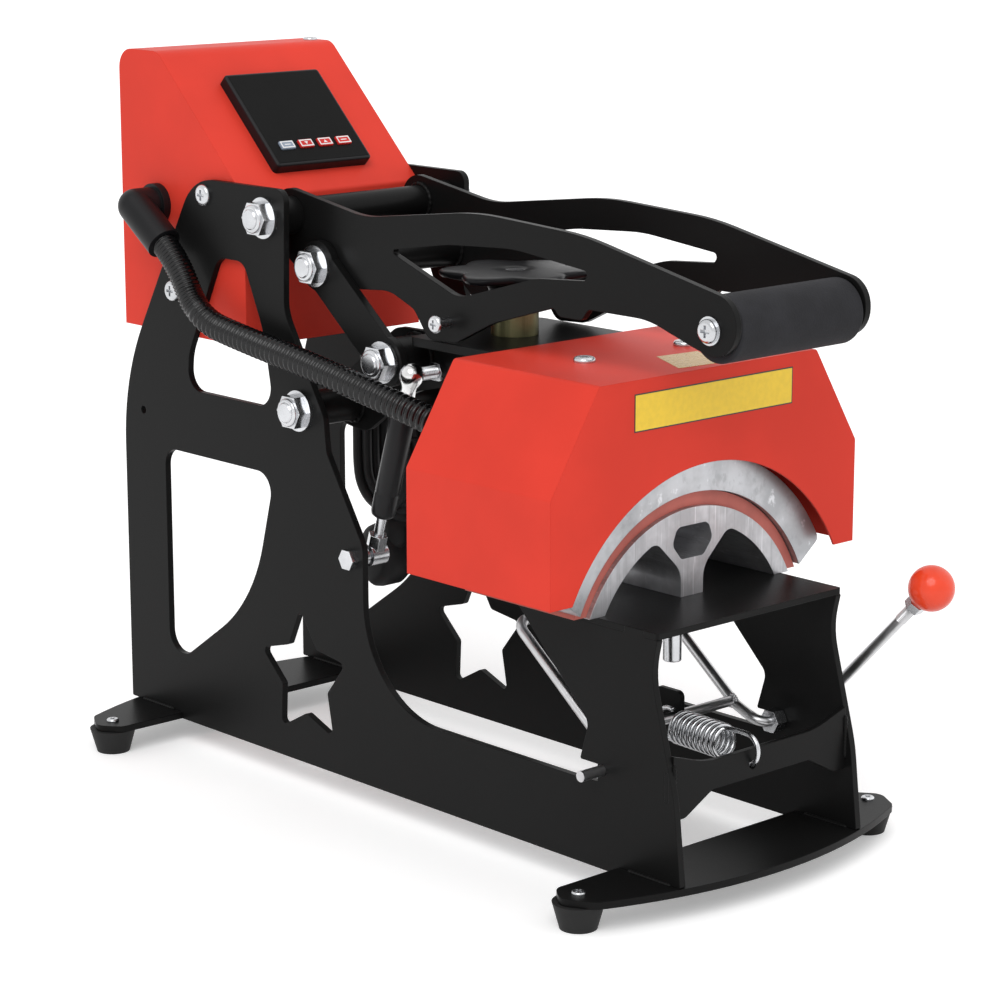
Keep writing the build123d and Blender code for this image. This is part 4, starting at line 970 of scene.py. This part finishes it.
# ------------------------------------------------------------------ gas spring
GAS_X = -54.5
GAS_LOWER = mm(GAS_X, 25.2, 146.8)
GAS_UPPER = mm(GAS_X, -8.5, 255.5)
GAS_TUBE_PROFILE = [
    (3.4, 25.4), (3.4, 24.9), (5.2, 25.1), (6.6, 26.2), (7.1, 28.2), (7.1, 39.4), (6.9, 39.9),
    (6.9, 40.7), (7.1, 41.2), (7.1, 89.5), (6.6, 91.2), (5.2, 92.0), (4.2, 92.0), (4.2, 93.0),
]
SOCKET_STEM = [(4.3, 92.0), (4.9, 92.4), (4.9, 99.5), (4.4, 100.5)]
# The socket's head, with its distances taken from the middle of the ball.
SOCKET_HEAD = [
    (4.4, -8.0), (5.3, -5.6), (6.5, -2.8), (6.9, 0.0), (6.5, 2.6), (5.3, 4.9), (3.2, 6.4),
    (1.1, 6.9),
]


class PRESS_OT_gas_spring(bpy.types.Operator):
    """Add the lacquered tube of the gas spring, its bright ball socket and the stud thread"""

    bl_idname = "press.gas_spring"
    bl_label = "Gas spring"

    def execute(self, context):
        axis = GAS_UPPER - GAS_LOWER
        ball = axis.length / MM
        tube = lathe(GAS_TUBE_PROFILE, GAS_LOWER, axis, 48)
        piece = mesh_piece(
            "gas_spring_tube", tube, "gas_lacquer", "gas_spring_cylinder", True)
        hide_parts("gas_cylinder")
        head = [(radius, ball + reach) for radius, reach in SOCKET_HEAD]
        socket = lathe(SOCKET_STEM + head, GAS_LOWER, axis, 40)
        mesh_piece("gas_spring_socket", socket, "chrome", "gas_spring_cylinder", True)
        foot = GAS_UPPER + mm(6.8, 0, 0)
        stud = screw_thread(foot, (1, 0, 0), length=10.4, radius=4.0, pitch=1.25)
        mesh_piece("gas_stud_thread", stud, "zinc", "press_arm")
        return {"FINISHED"}


# ------------------------------------------------------------------ extension spring
SPRING_REAR = mm(-3.0, -162.15, 77.4)
SPRING_FRONT = mm(-7.0, -223.6, 77.6)
HOOK_STEPS = 25
HOOK_SWEEP = 200.0
COIL_STEPS = 28
SMOOTHINGS = 3


class PRESS_OT_spring(bpy.types.Operator):
    """Add the extension spring between the hold-down and the cross plate"""

    bl_idname = "press.spring"
    bl_label = "Spring"

    def execute(self, context):
        sizes = context.scene.press_fittings
        axis = SPRING_FRONT - SPRING_REAR
        along = axis.normalized()
        side = along.cross(Vector((0, 0, 1))).normalized()
        below = side.cross(along).normalized()
        coil = sizes.spring_coil
        turns = sizes.spring_turns
        length = axis.length - sizes.spring_rear_run - sizes.spring_front_run

        hook_turns = [HOOK_SWEEP * step / HOOK_STEPS for step in range(HOOK_STEPS + 1)]
        points = []
        for turn in hook_turns:
            angle = math.radians(turn - 110.0)
            spoke = along * math.cos(angle) + below * math.sin(angle)
            points.append(SPRING_REAR - spoke * coil)
        steps = round(turns * COIL_STEPS)
        for step in range(steps + 1):
            angle = 2 * math.pi * turns * step / steps - math.pi / 2
            reach = sizes.spring_rear_run + length * step / steps
            spoke = below * math.sin(angle) + side * math.cos(angle)
            points.append(SPRING_REAR + along * reach + spoke * coil)
        for turn in hook_turns:
            angle = math.radians(90.0 - turn)
            spoke = along * math.cos(angle) + below * math.sin(angle)
            points.append(SPRING_FRONT + spoke * coil)
        for _ in range(SMOOTHINGS):
            middle = [(a + b) / 2 for a, b in zip(points, points[1:])]
            points = [points[0], *middle, points[-1]]
        wire = tube_mesh(points, [sizes.spring_wire] * len(points), 12)
        spring = mesh_piece("extension_spring", wire, "zinc", None, True)
        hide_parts("hold_down_spring")
        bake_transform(spring)
        return {"FINISHED"}


# ------------------------------------------------------------------ pressure knob
KNOB_AT = (0.0, -34.5)
KNOB_LOBES = 6
KNOB_SIDES = 180
KNOB_TURN = math.radians(-44.0)
LOBE_ROUNDING = 0.75
# Rings from the knob's foot to its top: radius, how far its lobes stand out, and height.
KNOB_RINGS = [
    (8.0, 0.0, 299.5), (13.6, 0.0, 299.5), (14.2, 0.0, 299.8), (15.5, 0.0, 303.6),
    (20.0, 1.6, 306.4), (30.0, 6.6, 308.2), (32.4, 8.8, 309.0), (33.3, 9.2, 309.9),
    (33.5, 9.3, 311.4), (33.2, 9.2, 312.2), (32.2, 8.6, 312.8), (29.0, 6.4, 313.0),
    (24.0, 3.0, 313.1), (14.0, 0.4, 313.1), (6.6, 0.0, 313.0), (6.0, 0.0, 312.6),
    (5.4, 0.0, 312.3), (0.4, 0.0, 312.3),
]


class PRESS_OT_knob(bpy.types.Operator):
    """Add the moulded star knob on the pressure spindle"""

    bl_idname = "press.knob"
    bl_label = "Knob"

    def execute(self, context):
        verts = []
        for base, lobe, z in KNOB_RINGS:
            for angle in round_turn(KNOB_SIDES):
                crest = (0.5 + 0.5 * math.cos(KNOB_LOBES * angle)) ** LOBE_ROUNDING
                radius = base + lobe * crest
                verts.append(mm(KNOB_AT[0] + radius * math.cos(angle + KNOB_TURN),
                                KNOB_AT[1] + radius * math.sin(angle + KNOB_TURN), z))
        shape = (verts, ring_faces(len(KNOB_RINGS), KNOB_SIDES))
        piece = mesh_piece("star_knob", shape, "knob_plastic", "knob", True)
        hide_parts("pressure_knob")
        return {"FINISHED"}


# ------------------------------------------------------------------ weld beads
BOTH_SIDES = (-1, 1)
TUBE_BEAD = 1.5
THIN_BEAD = 1.3
BEAD_FACETS = 8
RING_STEPS = 72
LINE_STEPS = 1.4
RIPPLE = 0.16
HANDLE_RINGS = [(46.6, (100.4, 335.0), 10.0), (46.6, (72.0, 308.7), 10.0)]
ARM_RINGS = [
    (32.4, (12.8, 260.6), 13.3), (32.4, (70.6, 226.5), 10.9), (27.6, (70.6, 226.5), 10.9),
]
LEVER_RINGS = [(51.4, (-158.0, 78.4), 3.2)]
# Straight beads on each side, from one point to another.
FRAME_LINES = [
    *(((x, low, 18.7), (x, high, 18.7))
      for x in (66.8, 71.2) for low, high in ((-231.0, -200.0), (200.0, 232.0))),
    *(((66.8, y, 58.0), (66.8, y, 82.0)) for y in (-224.8, -228.2)),
]


def weld_rings(rings, bead):
    """Rippled beads round tubes on both sides; a ring is its x, its (y, z) and its radius."""
    beads = []
    angles = [*round_turn(RING_STEPS), 2 * math.pi]
    for side in BOTH_SIDES:
        for x, (y, z), radius in rings:
            points = [mm(side * x, y + radius * math.cos(angle), z + radius * math.sin(angle))
                      for angle in angles]
            radii = [bead * MM * (1 + RIPPLE * math.sin(18 * angle) + 0.06 * math.sin(5 * angle))
                     for angle in angles]
            beads.append(tube_mesh(points, radii, BEAD_FACETS))
    return join(*beads)


def weld_lines(lines, bead):
    """Rippled beads between pairs of points, on both sides."""
    beads = []
    for side in BOTH_SIDES:
        for ends in lines:
            start, end = (mm(side * x, y, z) for x, y, z in ends)
            count = max(8, round((end - start).length / MM * LINE_STEPS))
            points = [start.lerp(end, index / count) for index in range(count + 1)]
            radii = []
            for index in range(count + 1):
                taper = min(1.0, 0.45 + 0.28 * min(index, count - index))
                radii.append(bead * MM * taper * (1.0 + RIPPLE * math.sin(2.1 * index)))
            beads.append(tube_mesh(points, radii, BEAD_FACETS))
    return join(*beads)


class PRESS_OT_welds(bpy.types.Operator):
    """Add the weld beads of the frame, the handle, the press arm and the hold-down"""

    bl_idname = "press.welds"
    bl_label = "Welds"

    def execute(self, context):
        for name, shape, finish, body, slot in (
            ("handle_welds", weld_rings(HANDLE_RINGS, TUBE_BEAD),
             "frame_coat", "handle", "frame_black"),
            ("arm_welds", weld_rings(ARM_RINGS, TUBE_BEAD),
             "frame_coat", "press_arm", "frame_black"),
            ("frame_welds", weld_lines(FRAME_LINES, THIN_BEAD),
             "frame_coat", "frame", "frame_black"),
            ("hold_down_welds", weld_rings(LEVER_RINGS, THIN_BEAD),
             "rod_steel", "hold_down", "zinc"),
        ):
            mesh_piece(name, shape, finish, body, True)
        return {"FINISHED"}


# ------------------------------------------------------------------ threads
LEVER_PIVOT = mm(96.0, -179.3, 69.2)
LEVER_BALL = mm(96.0, -261.2, 154.8)
SPINDLE_FOOT = mm(0.0, -34.5, 291.8)


class PRESS_OT_threads(bpy.types.Operator):
    """Add the threads that show on the ball lever and on the spindle"""

    bl_idname = "press.threads"
    bl_label = "Threads"

    def execute(self, context):
        way = (LEVER_BALL - LEVER_PIVOT).normalized()
        foot = LEVER_BALL - way * (30.0 * MM)
        lever = screw_thread(foot, way, length=12.0, radius=3.35, pitch=1.0)
        mesh_piece("lever_thread", lever, "rod_steel", "hold_down")
        spindle = screw_thread(SPINDLE_FOOT, (0, 0, 1), length=7.4, radius=6.0, pitch=1.75)
        mesh_piece("spindle_thread", spindle, "zinc", "spindle")
        return {"FINISHED"}


# ------------------------------------------------------------------ panel and registration
STEPS = (
    PRESS_OT_stage,
    PRESS_OT_finishes,
    PRESS_OT_lead,
    PRESS_OT_conduit,
    PRESS_OT_labels,
    PRESS_OT_controller,
    PRESS_OT_box_bend,
    PRESS_OT_gas_spring,
    PRESS_OT_spring,
    PRESS_OT_knob,
    PRESS_OT_welds,
    PRESS_OT_threads,
)


class PRESS_PT_panel(bpy.types.Panel):
    """Lists the sizes and colours, and the steps that dress the press"""

    bl_label = "Cap heat press"
    bl_space_type = "VIEW_3D"
    bl_region_type = "UI"
    bl_category = "Heat Press"

    def draw(self, context):
        layout = self.layout
        for group in (context.scene.press_finishes, context.scene.press_fittings):
            for name in group.bl_rna.properties.keys():
                if name not in ("rna_type", "name"):
                    layout.prop(group, name)
        for operator in STEPS:
            layout.operator(operator.bl_idname)


CLASSES = (PressFinishes, PressFittings, *STEPS, PRESS_PT_panel)


def register():
    for item in CLASSES:
        bpy.utils.register_class(item)
    bpy.types.Scene.press_finishes = PointerProperty(type=PressFinishes)
    bpy.types.Scene.press_fittings = PointerProperty(type=PressFittings)


def unregister():
    del bpy.types.Scene.press_fittings
    del bpy.types.Scene.press_finishes
    for item in reversed(CLASSES):
        bpy.utils.unregister_class(item)


def main():
    register()
    for operator in STEPS:
        group, name = operator.bl_idname.split(".")
        getattr(getattr(bpy.ops, group), name)()
    bpy.context.view_layer.update()


if __name__ == "__main__":
    main()
